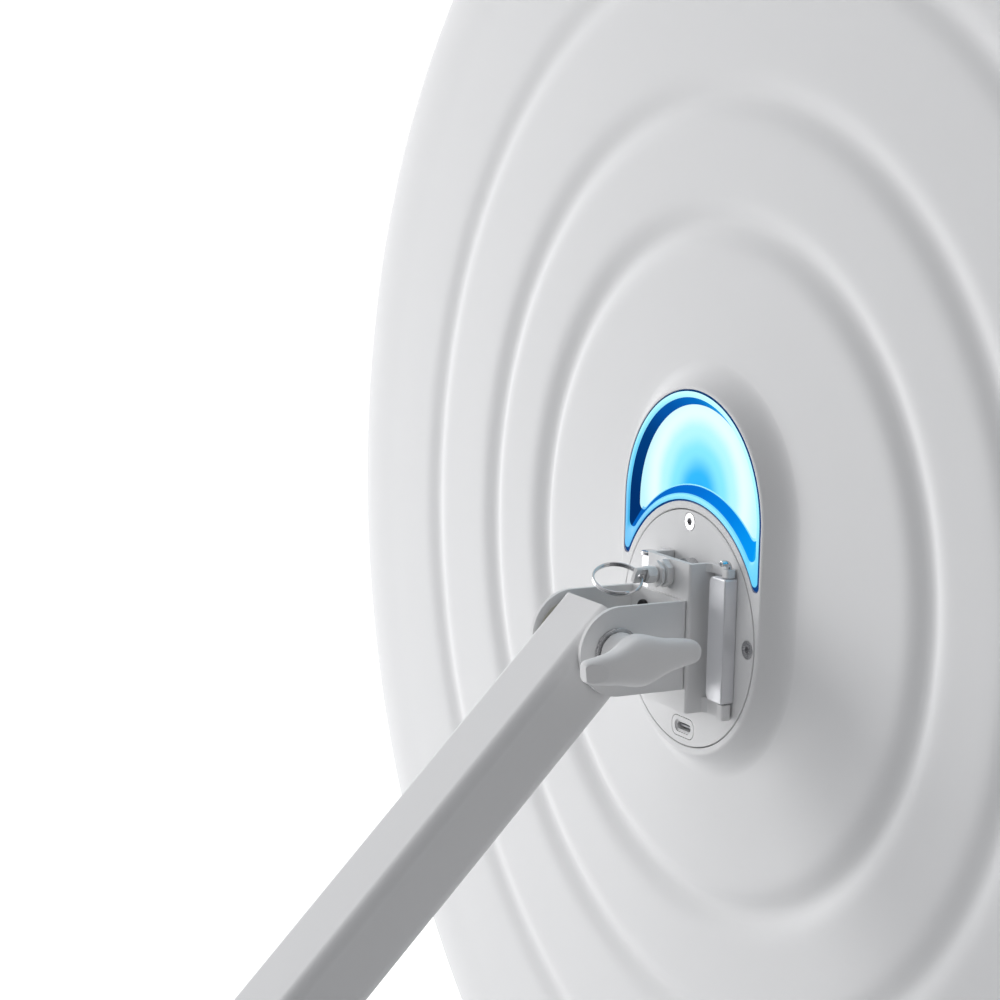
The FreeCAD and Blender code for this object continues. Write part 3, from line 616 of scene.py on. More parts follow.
def shell_blank():
    outside = shell_stations()
    inside = []
    for index, (offset, depth, half) in enumerate(outside):
        o0, d0, _ = outside[max(index - 1, 0)]
        o1, d1, _ = outside[min(index + 1, len(outside) - 1)]
        along = Vector((o1 - o0, d1 - d0)).normalized()
        inside.append((offset - WALL * along.y, depth + WALL * along.x, half))
    inside = [s for s in inside if s[1] < SKIRT - 4]
    floor = inside[-1][0]
    inside = [s for s in inside if s[0] <= floor + 0.01]
    inside.append((HEAD_R - WALL, SKIRT, 0))
    rings = outside + [(HEAD_R - 0.5, SKIRT, 0)] + list(reversed(inside))
    bm = bmesh.new()
    loops = []
    for offset, depth, half in rings:
        loops.append([bm.verts.new((x, RISE + y, -depth)) for x, y in stadium(offset, half)])
    for low, high in zip(loops[:-1], loops[1:]):
        count = len(low)
        for k in range(count):
            j = (k + 1) % count
            bm.faces.new((low[k], low[j], high[j], high[k]))
    bm.faces.new(loops[0])
    bm.faces.new(list(reversed(loops[-1])))
    return to_object(bm, "shell")


CRESCENT_OUT = 41.0
CRESCENT_IN = 42.5


def crescent_loop(inset, tip, arc_steps=72, tip_steps=10):
    """The crescent outline moved inward, with both tips rounded; as outer path and inner path."""
    side = CRESCENT_OUT - inset
    hollow = CRESCENT_IN + inset
    x = side - tip
    y = math.sqrt((hollow + tip) ** 2 - x * x)
    touch = math.atan2(y, x)
    half = tip_steps // 2
    low = -math.pi + touch
    tip_arc = [(x + tip * math.cos(a), y + tip * math.sin(a))
               for a in (low + (0 - low) * k / tip_steps for k in range(tip_steps + 1))]
    outer = tip_arc[half:]
    straight = 14
    outer += [(side, y + (BOSS_TOP - y) * k / straight) for k in range(1, straight)]
    outer += [(side * math.cos(math.pi * k / arc_steps),
               BOSS_TOP + side * math.sin(math.pi * k / arc_steps))
              for k in range(arc_steps + 1)]
    outer += [(-side, BOSS_TOP + (y - BOSS_TOP) * k / straight) for k in range(1, straight)]
    outer += [(-px, py) for px, py in reversed(tip_arc[half:])]
    inner = tip_arc[:half + 1][::-1]
    count = len(outer) - 2 * len(inner) + 2
    for k in range(1, count - 1):
        a = touch + (math.pi - 2 * touch) * k / (count - 1)
        inner.append((hollow * math.cos(a), hollow * math.sin(a)))
    inner += [(-px, py) for px, py in tip_arc[:half + 1]]
    return outer, inner


def crescent_tool(levels):
    """A solid crescent from (inset, tip, height) levels."""
    bm = bmesh.new()
    loops = []
    for inset, tip, height in levels:
        outer, inner = crescent_loop(inset, tip)
        ring = outer + inner[-2:0:-1]
        loops.append([bm.verts.new((x, y, height)) for x, y in ring])
    for low, high in zip(loops[:-1], loops[1:]):
        for k in range(len(low)):
            j = (k + 1) % len(low)
            bm.faces.new((low[k], low[j], high[j], high[k]))
    for ring, level in ((loops[0], 0), (loops[-1], 1)):
        bm.faces.new(ring if level == 0 else list(reversed(ring)))
    return to_object(bm, "crescent")


PLATE_SCREW_REACH = 35.9
RIM_SCREW_REACH = 288
RIM_SCREW_COUNT = 12
RIM_SCREW_START = -4
M4_HOLE = 2.02


def plate_screw_places():
    return [(PLATE_SCREW_REACH, 0), (0, PLATE_SCREW_REACH), (-PLATE_SCREW_REACH, 0)]


def rim_screw_places():
    turns = [math.radians(RIM_SCREW_START + 30 * k) for k in range(RIM_SCREW_COUNT)]
    return [(RIM_SCREW_REACH * math.cos(turn), RISE + RIM_SCREW_REACH * math.sin(turn)) for turn in turns]


def rear_shell():
    shell = shell_blank()
    ledge = pipe(31, 42.3, -5.5, -1.0, steps=180)
    fuse(shell, ledge)
    recess = lathe([(0, -3.0), (40.0, -3.0), (40.0, -0.35), (40.12, -0.12), (40.35, 0.0), (40.35, 3),
                    (0, 3)], steps=240)
    access = pipe(0, 31, -14, 5, steps=120)
    port = extrude(rectangle(-7.2, -38, 7.2, -29.6, 2.0), -12, 4)
    opening = crescent_tool([(0.0, 1.9, -20), (0.0, 1.9, -0.4), (-0.1, 2.0, -0.12),
                             (-0.35, 2.25, 0.0), (-0.35, 2.25, 4)])
    seats = [pipe(0, 3.3, -21.5, -14, (x, y, 0), steps=32) for x, y in rim_screw_places()]
    holes = [pipe(0, 1.7, -12, 5, (x, y, 0), steps=24) for x, y in plate_screw_places()]
    cut(shell, recess, access, port, opening, joined(seats), joined(holes))
    publish(shell, "shell_rear", "head", ["white_shell"], ["rear_shell"], angle=38)


def rim_screws():
    items = []
    for x, y in rim_screw_places():
        dome = soft_profile([(0, -44), (1.5, -44), (1.5, -21.5), (2.95, -21.5), (2.85, -20.7),
                             (2.3, -19.75), (1.2, -19.3), (0.9, -19.3), (0.9, -20.4), (0, -20.4)],
                            [0, .2, .1, .3, .5, .6, .2, .05, .05, 0])
        items.append(lathe(dome, (x, y, 0), steps=36))
    publish(joined(items), "screws_rim", "head", ["steel"], ["rim_screws"], angle=50)


def status_light():
    """The lit crescent trough: flat rim, walls leaning in, bright floor."""
    rim_mat = glow_material(
        "guide_rim", [(0.0, (0.06, 0.44, 0.80)), (0.3, (0.14, 0.64, 0.93)), (0.6, (0.26, 0.78, 0.97)),
                      (1.0, (0.46, 0.90, 0.98))],
        1.0, (0.35, 1, 0), (0, 20, 0), (0, 62), gloss=0.15)
    edge_mat = glow_material(
        "guide_edge", [(0.0, (0.01, 0.09, 0.36)), (1.0, (0.004, 0.07, 0.25))], 0.6, (0, 1, 0),
        (0, 20, 0), (0, 60), gloss=0.0)
    wall_mat = glow_material(
        "guide_wall", [(0.0, (0.001, 0.030, 0.15)), (0.2, (0.001, 0.045, 0.20)),
                       (0.45, (0.002, 0.085, 0.37)),
                       (0.7, (0.002, 0.14, 0.52)), (1.0, (0.01, 0.36, 0.82))],
        1.0, (1, 0.3, 0), (-38, 40, 0), (0, 66), gloss=0.0)
    inner_mat = glow_material(
        "guide_inner", [(0.0, (0.003, 0.12, 0.50)), (0.4, (0.002, 0.15, 0.62)),
                        (0.75, (0.001, 0.21, 0.75)), (1.0, (0.002, 0.30, 0.88))],
        1.0, (1, -0.2, 0), (-30, 40, 0), (0, 66), gloss=0.0)
    floor_mat = glow_material(
        "guide_floor", [(0.0, (0.02, 0.40, 0.91)), (0.2, (0.035, 0.48, 0.95)),
                        (0.42, (0.24, 0.79, 1.0)), (0.6, (0.46, 0.91, 1.0)),
                        (0.78, (0.78, 0.96, 1.0)), (1.0, (0.55, 0.92, 1.0))],
        1.0, None, (0, 45, -3), (0, 36), gloss=0.0)
    levels = [  # inset, tip radius, height, material of the strip that leads to this level
        (0.15, 1.85, -7.0, 1), (0.15, 1.85, -0.45, 1), (0.35, 1.75, -0.12, 1), (0.62, 1.7, 0.0, 1),
        (1.2, 1.9, 0.02, 0), (1.9, 2.1, 0.0, 0), (2.3, 2.3, -0.12, 0), (2.6, 2.4, -0.4, 0),
        (3.5, 2.4, -1.35, 2), (4.5, 2.4, -2.35, 2), (5.1, 2.4, -2.85, 2), (5.5, 2.4, -3.0, 4),
    ]
    bm = bmesh.new()
    loops = []
    for inset, tip, height, _ in levels:
        outer, inner = crescent_loop(inset, tip)
        ring = outer + inner[-2:0:-1]
        loops.append(([bm.verts.new((x, y, height)) for x, y in ring], len(outer)))
    for (low, split), (high, _), level in zip(loops[:-1], loops[1:], levels[1:]):
        count = len(low)
        for k in range(count):
            j = (k + 1) % count
            face = bm.faces.new((low[k], low[j], high[j], high[k]))
            key = level[3]
            if k >= split - 1:
                key = {2: 3, 4: 0}.get(key, key)
            face.material_index = key
    floor_ring, split = loops[-1]
    outer_path = floor_ring[:split]
    inner_path = [outer_path[0]] + floor_ring[split:][::-1] + [outer_path[-1]]
    rows = 12
    grid = [outer_path]
    for row in range(1, rows):
        t = row / rows
        line = []
        for a, b in zip(outer_path, inner_path):
            line.append(a if a is b else bm.verts.new(a.co.lerp(b.co, t)))
        grid.append(line)
    grid.append(inner_path)
    for upper, lower in zip(grid[:-1], grid[1:]):
        for k in range(len(upper) - 1):
            corners = []
            for vert in (upper[k], upper[k + 1], lower[k + 1], lower[k]):
                if vert not in corners:
                    corners.append(vert)
            if len(corners) > 2:
                bm.faces.new(corners).material_index = 4
    back = bm.faces.new(list(reversed(loops[0][0])))
    back.material_index = 1
    item = to_object(bm, "guide")
    for material in (rim_mat, edge_mat, wall_mat, inner_mat, floor_mat):
        item.data.materials.append(material)
    publish(item, "status_trough", "head", [], ["status_light_guide"], angle=50)


# ------------------------------------------------------------------ cover plate and port
def cover_plate():
    plate = lathe(soft_profile([(0, -3), (PLATE_R, -3), (PLATE_R, 0), (0, 0)], [0, .15, .28, 0], 4),
                  steps=240)
    sinks = [lathe([(0, -5), (1.7, -5), (1.7, -1.7), (3.12, -0.14), (3.3, 0.0), (3.3, 2), (0, 2)],
                   (x, y, 0), steps=48)
             for x, y in plate_screw_places()]
    lo, hi = local_box("port_frame")
    mid = (lo.y + hi.y) / 2
    port = joined([extrude(rectangle(-6.75, mid - 3.55, 6.75, mid + 3.55, 2.9, 12), -6, 2)])
    cut(plate, joined(sinks), port)
    publish(plate, "plate_cover", "head", ["white_plate"], ["cover_plate"], edge=0.14,
            angle=40)
    heads = []
    for x, y in plate_screw_places():
        body = lathe(soft_profile([(0, -11), (1.5, -11), (1.5, -1.6), (3.0, -0.12), (2.85, 0),
                                   (0, 0)], [0, .2, .1, .08, .1, 0], 3),
                     (x, y, 0), steps=48)
        cut(body, extrude(hex_outline(x, y, 1.32, 12), -1.3, 1))
        heads.append(body)
    publish(joined(heads), "screws_plate", "head", ["steel"], ["plate_screws"], edge=0.05,
            angle=40, segments=2)
    insert = extrude(rectangle(-6.5, mid - 3.3, 6.5, mid + 3.3, 2.7, 12), -6, -0.02)
    mouth = extrude(rectangle(-4.55, mid - 1.7, 4.55, mid + 1.7, 1.65, 12), -8, 1)
    flare = extrude(rectangle(-4.9, mid - 2.05, 4.9, mid + 2.05, 2.0, 12), -0.5, 1)
    cut(insert, mouth, flare)
    publish(insert, "port_insert", "head", ["white_plate"], ["port_frame"], edge=0.22,
            angle=40)
    can = extrude(rectangle(-4.47, mid - 1.62, 4.47, mid + 1.62, 1.6, 12), -7.5, -0.6)
    cut(can, extrude(rectangle(-4.12, mid - 1.27, 4.12, mid + 1.27, 1.26, 12), -7.0, 1))
    publish(can, "port_can", "head", ["dark_steel"], ["port_shell"], edge=0.07, angle=40)
    tongue = extrude(rectangle(-3.34, mid - 0.35, 3.34, mid + 0.35, 0.12, 4), -6.9, -1.5)
    publish(tongue, "port_blade", "head", ["grey_plastic"], ["port_tongue"], edge=0.08)


# ------------------------------------------------------------------ bars, pins and the hat bracket
def bars():
    lo, hi = local_box("hinge_bar")
    bar = extrude(rectangle(lo.x, lo.y, hi.x, hi.y, [2.4, 0.7, 0.7, 2.4], 10), lo.z, hi.z)
    publish(bar, "bar_hinge", "head", ["bar_alu"], ["hinge_bar"], edge=0.55, segments=4)
    lo, hi = local_box("spare_bar")
    bar = extrude(rectangle(lo.x, lo.y, hi.x, hi.y, [1.4, 0.7, 0.7, 1.4], 10), lo.z, hi.z)
    publish(bar, "bar_spare", "head", ["bar_alu"], ["spare_bar"], edge=0.5, segments=4)
    lo, hi = local_box("spare_pin")
    x, z = (lo.x + hi.x) / 2, (lo.z + hi.z) / 2
    pin = lathe(soft_profile([(0, lo.y), (1.0, lo.y), (1.0, hi.y - 1.6), (2.9, hi.y - 1.6),
                              (2.9, hi.y - .3), (1.6, hi.y), (0, hi.y)],
                             [0, .2, .1, .35, .6, .5, 0]), (x, 0, z), "v", 40)
    publish(pin, "pin_spare", "head", ["chrome"], ["spare_pin"], angle=50)
    lo, hi = local_box("hinge_pin")
    x, z = (lo.x + hi.x) / 2, lo.z + 1.0
    rise = hi.y - 1.0
    bend = 1.7
    path = [(x, lo.y, z), (x, lo.y + 0.5, z), (x, rise - bend, z)]
    path += [(x, rise - bend + bend * math.sin(a), z + bend - bend * math.cos(a))
             for a in (math.pi / 2 * k / 8 for k in range(1, 9))]
    path += [(x, rise, hi.z - 0.3), (x, rise, hi.z)]
    pin = sweep(path, 1.0, 24)
    publish(pin, "pin_hinge", "carrier" if NODE_BODY["hinge_pin"] == "carrier" else "head",
            ["chrome"], ["hinge_pin"], edge=0.2, angle=50)
    keep_node("bar_screws", "steel")


NODE_BODY = {}
for _body_name, _entry in frame["record"]["behaviour"]["bodies"].items():
    for _node in (_entry["nodes"] if isinstance(_entry, dict) else _entry):
        NODE_BODY[_node] = _body_name


def hat_bracket():
    left, right, top, bottom = -10.3, 16.4, 25.0, -24.5
    low, high, sheet = 0.3, local_box("hat_bracket")[1].z, 2.0
    outline = rounded(
        [(left - 4, low), (left + sheet, low), (left + sheet, high - sheet),
         (right - sheet, high - sheet),
         (right - sheet, low), (right, low), (right, high), (left, high), (left, low + sheet),
         (left - 4, low + sheet)],
        [0.3, 0.3, 0.7, 0.7, 0.3, 0.3, 1.1, 1.5, 0.5, 0.3], 6)
    hat = extrude(outline, bottom, top, "un")
    pin_lo, pin_hi = local_box("hinge_pin")
    pin_x, pin_z = (pin_lo.x + pin_hi.x) / 2, pin_lo.z + 1.0
    tabs = []
    for start, end in ((bottom, bottom + 5.0), (top - 2.7, top)):
        tab = rounded([(right - 0.6, low), (pin_x + 1.9, low), (pin_x + 1.9, low + 3.8),
                       (pin_x - 1.9, low + 3.8),
                       (pin_x - 1.9, low + sheet), (right - 0.6, low + sheet)],
                       [0, 1.5, 1.0, 1.2, 1.0, 0], 8)
        tabs.append(extrude(tab, start, end, "un"))
        fillet = rounded([(right - 0.5, low + sheet - 0.2), (right + 1.6, low + sheet - 0.2),
                          (right - 0.5, low + sheet + 1.9)], [0, 0, 0])
        tabs.append(extrude(fillet, start, end, "un"))
    fuse(hat, *tabs)
    nut_lo, nut_hi = local_box("latch_nut")
    latch_x, latch_y = (nut_lo.x + nut_hi.x) / 2, (nut_lo.y + nut_hi.y) / 2
    tools = [pipe(0, 1.04, pin_lo.y - 4, 40, (pin_x, 0, pin_z), "v", 32),
             pipe(0, 3.02, 0, 20, (latch_x, latch_y, 0), steps=40)]
    tools += [pipe(0, M4_HOLE, 4, 20, (x, y, 0), steps=32) for x, y in clevis_screw_places()]
    cut(hat, *tools)
    publish(hat, "bracket_hat", "carrier", ["satin_alu"], ["hat_bracket"], edge=0.25)


def clevis_screw_places():
    lo, hi = local_box("clevis_screws")
    head = 2.8
    return [(x, y) for x in (lo.x + head, hi.x - head) for y in (lo.y + head, hi.y - head)]


def clevis():
    lo, hi = local_box("clevis")
    sheet = 1.6
    middle = (lo.y + hi.y) / 2
    half = (hi.y - lo.y) / 2
    u_shape = rounded(
        [(lo.x, hi.z), (lo.x, lo.z), (hi.x, lo.z), (hi.x, hi.z), (hi.x - sheet, hi.z),
         (hi.x - sheet, lo.z + sheet),
         (lo.x + sheet, lo.z + sheet), (lo.x + sheet, hi.z)],
        [0, 1.3, 1.3, 0, 0, 0.6, 0.6, 0], 6)
    body = extrude(u_shape, lo.y, hi.y, "un")
    end = hi.z - half
    side = [(lo.z - 1, lo.y), (end, lo.y)]
    bend = [math.radians(-90 + 180 * k / 64) for k in range(1, 64)]
    side += [(end + half * math.cos(a), middle + half * math.sin(a)) for a in bend]
    side += [(end, hi.y), (lo.z - 1, hi.y)]
    common(body, extrude(side, lo.x - 2, hi.x + 2, "nv"))
    pivot = HEAD.inverted() @ PIVOT
    tools = [pipe(0, 4.03, -30, 30, (0, pivot.y, pivot.z), "u", 64)]
    tools += [pipe(0, M4_HOLE, 4, 20, (x, y, 0), steps=32) for x, y in clevis_screw_places()]
    cut(body, *tools)
    publish(body, "clevis_sheet", "carrier", ["satin_alu"], ["clevis"], edge=0.28)
    seat = lo.z + sheet
    heads = []
    for x, y in clevis_screw_places():
        head = lathe(soft_profile([(0, seat - 3.6), (2, seat - 3.6), (2, seat), (2.8, seat),
                                   (2.8, seat + 1.5), (0, seat + 1.5)],
                                  [0, .3, .1, .15, .6, 0]), (x, y, 0), steps=48)
        cut(head, extrude(hex_outline(x, y, 1.3, 20), seat + 0.5, seat + 6))
        heads.append(head)
    publish(joined(heads), "screws_clevis", "carrier", ["black_oxide"], ["clevis_screws"],
            edge=0.08, angle=40)


def latch():
    """Nut, sleeve and pull pin of the latch, on one axis out of the bracket."""
    lo, hi = local_box("latch_nut")
    x, y = (lo.x + hi.x) / 2, (lo.y + hi.y) / 2
    s_lo, s_hi = local_box("latch_sleeve")
    p_lo, p_hi = local_box("latch_pin")
    collar = s_hi.z - 1.1

    def hexagon(corner, low, high, bore, chamfer):
        blank = extrude(hex_outline(x, y, corner, 30), low, high)
        flat = corner * math.cos(math.pi / 6)
        form = lathe([(0, low), (flat - 0.05, low), (corner + .05, low + chamfer),
                      (corner + .05, high - chamfer),
                      (flat - 0.05, high), (0, high)], (x, y, 0), steps=72)
        common(blank, form)
        return cut(blank, pipe(0, bore, low - 1, high + 1, (x, y, 0), steps=48))

    nut = hexagon(4.75, lo.z, hi.z, 3.05, 0.55)
    publish(nut, "nut_latch", "carrier", ["dark_steel"], ["latch_nut"], edge=0.12, angle=24)
    sleeve = hexagon(4.5, collar, s_hi.z, 1.55, 0.25)
    stem = lathe(soft_profile([(1.55, s_lo.z), (3.0, s_lo.z), (3.0, collar + 0.5),
                               (1.55, collar + 0.5)], [0, .2, .1, 0]), (x, y, 0), steps=48)
    fuse(sleeve, stem)
    pocket = pipe(1.5, 2.5, 6.9, s_hi.z - 0.8, (x, y, 0), steps=48)
    cut(sleeve, pocket)
    publish(sleeve, "sleeve_latch", "carrier", ["chrome"], ["latch_sleeve"],
            edge=0.12, angle=24)
    head = p_hi.z - 8.0
    profile = soft_profile([(0, p_lo.z), (1.5, p_lo.z), (1.5, 7.1), (2.2, 7.1), (2.2, 7.9),
                            (1.5, 7.9), (1.5, head),
                            (2.6, head), (2.6, head + 0.9), (3.0, head + 0.9), (3.0, p_hi.z),
                            (0, p_hi.z)],
                           [0, .6, .1, .15, .15, .1, .1, .2, .05, .3, .8, 0])
    pin = lathe(profile, (x, y, 0), steps=64)
    eye = 20.5
    barrel = extrude(hex_outline(x, y, 3.05, 0), head + 0.9, p_hi.z + 1)
    outer = pipe(0, 3.5, p_lo.z - 1, head + 0.9, (x, y, 0), steps=48)
    common(pin, joined([barrel, outer]))
    lean = Matrix.Rotation(math.radians(-25.5), 4, "Z")
    tools = []
    for side in (0.8, -6.8):
        tools.append(moved(extrude(rectangle(side, -6, side + 6, 6, 0.3), -1.9, 6), (x, y, eye), lean))
    tools.append(moved(pipe(0, 1.25, -5, 5, (0, 0, 0), "u", 32), (x, y, eye), lean))
    cut(pin, *tools)
    publish(pin, "pin_latch", "latch", ["chrome"], ["latch_pin"], edge=0.12, angle=35)
    keep_node("latch_catch", "steel")
    keep_node("latch_spring", "steel")


def split_ring():
    """Two touching turns of wire, stepping over each other once."""
    lo, hi = local_box("split_ring")
    centre = (lo + hi) / 2
    normal = Vector((0.414, 0.895, 0.15)).normalized()
    across = normal.orthogonal().normalized()
    other = normal.cross(across)
    wire = 0.41
    path = []
    steps = 232
    turns = 1.94
    for k in range(steps + 1):
        t = k / steps
        angle = 2 * math.pi * turns * t + 1.1
        lift = wire * 0.96 * (2 * smooth((t - 0.5) / 0.09 + 0.5) - 1)
        path.append(centre + 8.0 * (across * math.cos(angle) + other * math.sin(angle)) + normal * lift)
    ring = sweep(path, lambda t: wire * min(1.0, 0.35 + 60 * min(t, 1 - t)), 14)
    publish(ring, "ring_split", "ring", ["chrome"], ["split_ring"], angle=60)


# ------------------------------------------------------------------ pivot and wing knob
def pivot_parts():
    pivot = HEAD.inverted() @ PIVOT
    lo, hi = local_box("pivot_bolt")
    bolt = lathe(soft_profile([(0, lo.x), (4.6, lo.x), (5.9, lo.x + 1.0), (7.5, lo.x + 4),
                               (4, lo.x + 4), (4, hi.x), (0, hi.x)],
                              [0, 1.2, 1.0, .3, .1, .6, 0], 6), (0, pivot.y, pivot.z), "u", 64)
    cut(bolt, moved(extrude(hex_outline(0, 0, 2.9), -1, 2.6), (lo.x, pivot.y, pivot.z),
                    Matrix.Rotation(math.pi / 2, 4, "Y")))
    publish(bolt, "bolt_pivot", "carrier", ["steel"], ["pivot_bolt"], edge=0.1, angle=40)
    lo, hi = local_box("knob_washer")
    ring = lathe(soft_profile([(4.05, lo.x), (8, lo.x), (8, hi.x), (4.05, hi.x)], [0, .2, .25, 0]),
                 (0, pivot.y, pivot.z), "u", 96)
    publish(ring, "washer_knob", "carrier", ["steel"], ["knob_washer"], angle=50)
    copy_node("friction_discs", "discs_friction", "carrier", "bearing", edge=0.08)
    wing_knob(pivot)


def wing_knob(pivot):
    """A cast wing knob: a leaf-shaped bar over a tapered hub."""
    lo, hi = local_box("wing_knob")
    root = lo.x
    face = hi.x
    length = 21.6
    body_steps = 64
    stations = []
    count = 40
    for k in range(count + 1):
        w = -length + 2 * length * k / count
        a = abs(w)
        swell = math.exp(-(a / 7.6) ** 2)
        thick = 4.6 + 3.5 * swell - 0.9 * smooth((a - 12) / 9)
        ending = math.sqrt(max(0.0, 1 - (max(0.0, a - 18.6) / 3.05) ** 2))
        thick *= 0.25 + 0.75 * ending
        turn_off = 0.7 * math.sin(math.pi * w / 26) * (1 if a < 20 else 0.9)
        inner = face - (8.2 + 5.0 * swell) * (0.55 + 0.45 * ending)
        outer = face - 1.6 * (a / length) ** 2 - 0.9 * (1 - ending)
        stations.append((w, thick, -turn_off, inner, outer))
    bm = bmesh.new()
    loops = []
    for w, thick, off, inner, outer in stations:
        mid = (inner + outer) / 2
        half = (outer - inner) / 2
        loop = []
        for j in range(body_steps):
            a = 2 * math.pi * j / body_steps
            c, s = math.cos(a), math.sin(a)
            power = 0.62
            x = mid + half * math.copysign(abs(c) ** power, c)
            y = off + thick * math.copysign(abs(s) ** power, s)
            loop.append(bm.verts.new((x, y, w)))
        loops.append(loop)
    for low, high in zip(loops[:-1], loops[1:]):
        for j in range(body_steps):
            i = (j + 1) % body_steps
            bm.faces.new((low[j], low[i], high[i], high[j]))
    bm.faces.new(loops[0])
    bm.faces.new(list(reversed(loops[-1])))
    wings = to_object(bm, "wings")
    lean = Matrix.Rotation(math.radians(3.9), 4, "X")
    moved(wings, (0, pivot.y, pivot.z), lean)
    hub = lathe([(0, root), (7.0, root), (6.6, root + 3), (6.5, root + 7), (7.0, root + 11),
                 (6.0, face - 4), (0, face - 4)],
                (0, pivot.y, pivot.z), "u", 64)
    fuse(wings, hub)
    remesh = wings.modifiers.new("remesh", "REMESH")
    remesh.mode = "VOXEL"
    remesh.voxel_size = 0.42
    relax = wings.modifiers.new("relax", "SMOOTH")
    relax.factor = 0.5
    relax.iterations = 14
    baked(wings)
    end_cut = extrude(rectangle(-40, 20.9, 40, 40), -30, 30, "un")
    land = extrude([(face - 0.55, 13.5), (face + 9, 13.5), (face + 9, 30), (face - 2.9, 30),
                    (face - 2.6, 21.5)], -30, 30, "un")
    for tool in (end_cut, land):
        moved(tool, (0, pivot.y, pivot.z), lean)
    cut(wings, end_cut, land)
    cut(wings, pipe(0, 5.2, root - 2, root + 11.2, (0, pivot.y, pivot.z), "u", 64))
    publish(wings, "knob_wing", "knob", ["cast_alu"], ["wing_knob"], angle=60)
    copy_node("knob_insert", "insert_knob", "knob", "brass", edge=0.15)


# ------------------------------------------------------------------ arm
def arm():
    tube_lo, tube_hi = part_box("arm_tube")
    side = (tube_hi.x - tube_lo.x) / 2 / MM
    tall = 12.0
    corner = 4.5
    wall = 2.0
    end = ARM_LENGTH - 4.0
    start = -8.8

    def section(inset, radius, steps):
        return rectangle(inset - side, inset - tall, side - inset, tall - inset, radius, steps)

    outside = extrude(section(0, corner, 16), start, end)
    inside = extrude(section(wall, corner - wall, 12), start - 2, end + 2)
    bush = pipe(0, 6.0, -20, 20, (0, 0, 0), "u", 64)
    screw = pipe(0, M4_HOLE, -20, 20, (0, 0, ARM_LENGTH - 18), "u", 32)
    cut(outside, inside, bush, screw)
    publish(outside, "tube_arm", "arm", ["arm_alu"], ["arm_tube"], ARM, edge=0.35, angle=40)
    ring = lathe(soft_profile([(4.06, -side), (6.0, -side), (6.0, side), (4.06, side)],
                              [0, .2, .2, 0]), (0, 0, 0), "u", 64)
    publish(ring, "bush_pivot", "arm", ["bearing"], ["pivot_bush"], ARM, angle=50)
    cap = extrude(section(wall, corner - wall, 12), start, start + 1.6)
    publish(cap, "cap_tube", "arm", ["black_plastic"], ["tube_cap"], ARM, edge=0.25)
    flange = extrude(section(0, corner, 16), end, ARM_LENGTH)
    core = extrude(section(wall, corner - wall, 12), ARM_LENGTH - 30, end + 1)
    spigot = lathe(soft_profile([(0, ARM_LENGTH - 1), (8, ARM_LENGTH - 1), (8, ARM_LENGTH + 24),
                                 (6.5, ARM_LENGTH + 24), (6.5, ARM_LENGTH + 28),
                                 (8, ARM_LENGTH + 28), (8, ARM_LENGTH + 35), (0, ARM_LENGTH + 35)],
                                 [0, .1, .15, .3, .3, .15, .9, 0]), steps=96)
    fuse(flange, core, spigot)
    cut(flange, pipe(0, M4_HOLE, -20, 20, (0, 0, ARM_LENGTH - 18), "u", 32))
    publish(flange, "spigot_arm", "arm", ["steel"], ["arm_spigot"], ARM, edge=0.3, angle=40)
    heads = []
    for sign in (-1, 1):
        head = lathe(soft_profile([(0, -7), (2, -7), (2, 0), (3.5, 0), (3.3, 1.2), (2.2, 2.2),
                                   (0, 2.2)], [0, .2, .1, .3, .6, .5, 0]), steps=40)
        cut(head, extrude(hex_outline(0, 0, 1.25), 1.0, 4))
        turn = Matrix.Rotation(sign * math.pi / 2, 4, "Y")
        heads.append(moved(head, (sign * side, 0, ARM_LENGTH - 18), turn))
    publish(joined(heads), "screws_plug", "arm", ["steel"], ["plug_screws"], ARM, edge=0.06,
            angle=40)


# ------------------------------------------------------------------ front of the lamp
FRONT_NODES = {
    "front_window": "clear", "window_gasket": "rubber", "heat_spreader": "satin_alu",
    "led_board_inner": "pcb_white", "led_board_middle": "pcb_white", "led_board_outer": "pcb_white",
    "led_chips": "led_yellow", "led_optics": "optic", "driver_board": "pcb_green",
    "driver_parts": "black_plastic", "driver_pillars": "steel", "core_plate": "satin_alu",
    "core_posts": "steel", "plate_posts": "white_plate", "port_board": "pcb_green",
    "status_board": "pcb_green", "status_leds": "led_blue",
}


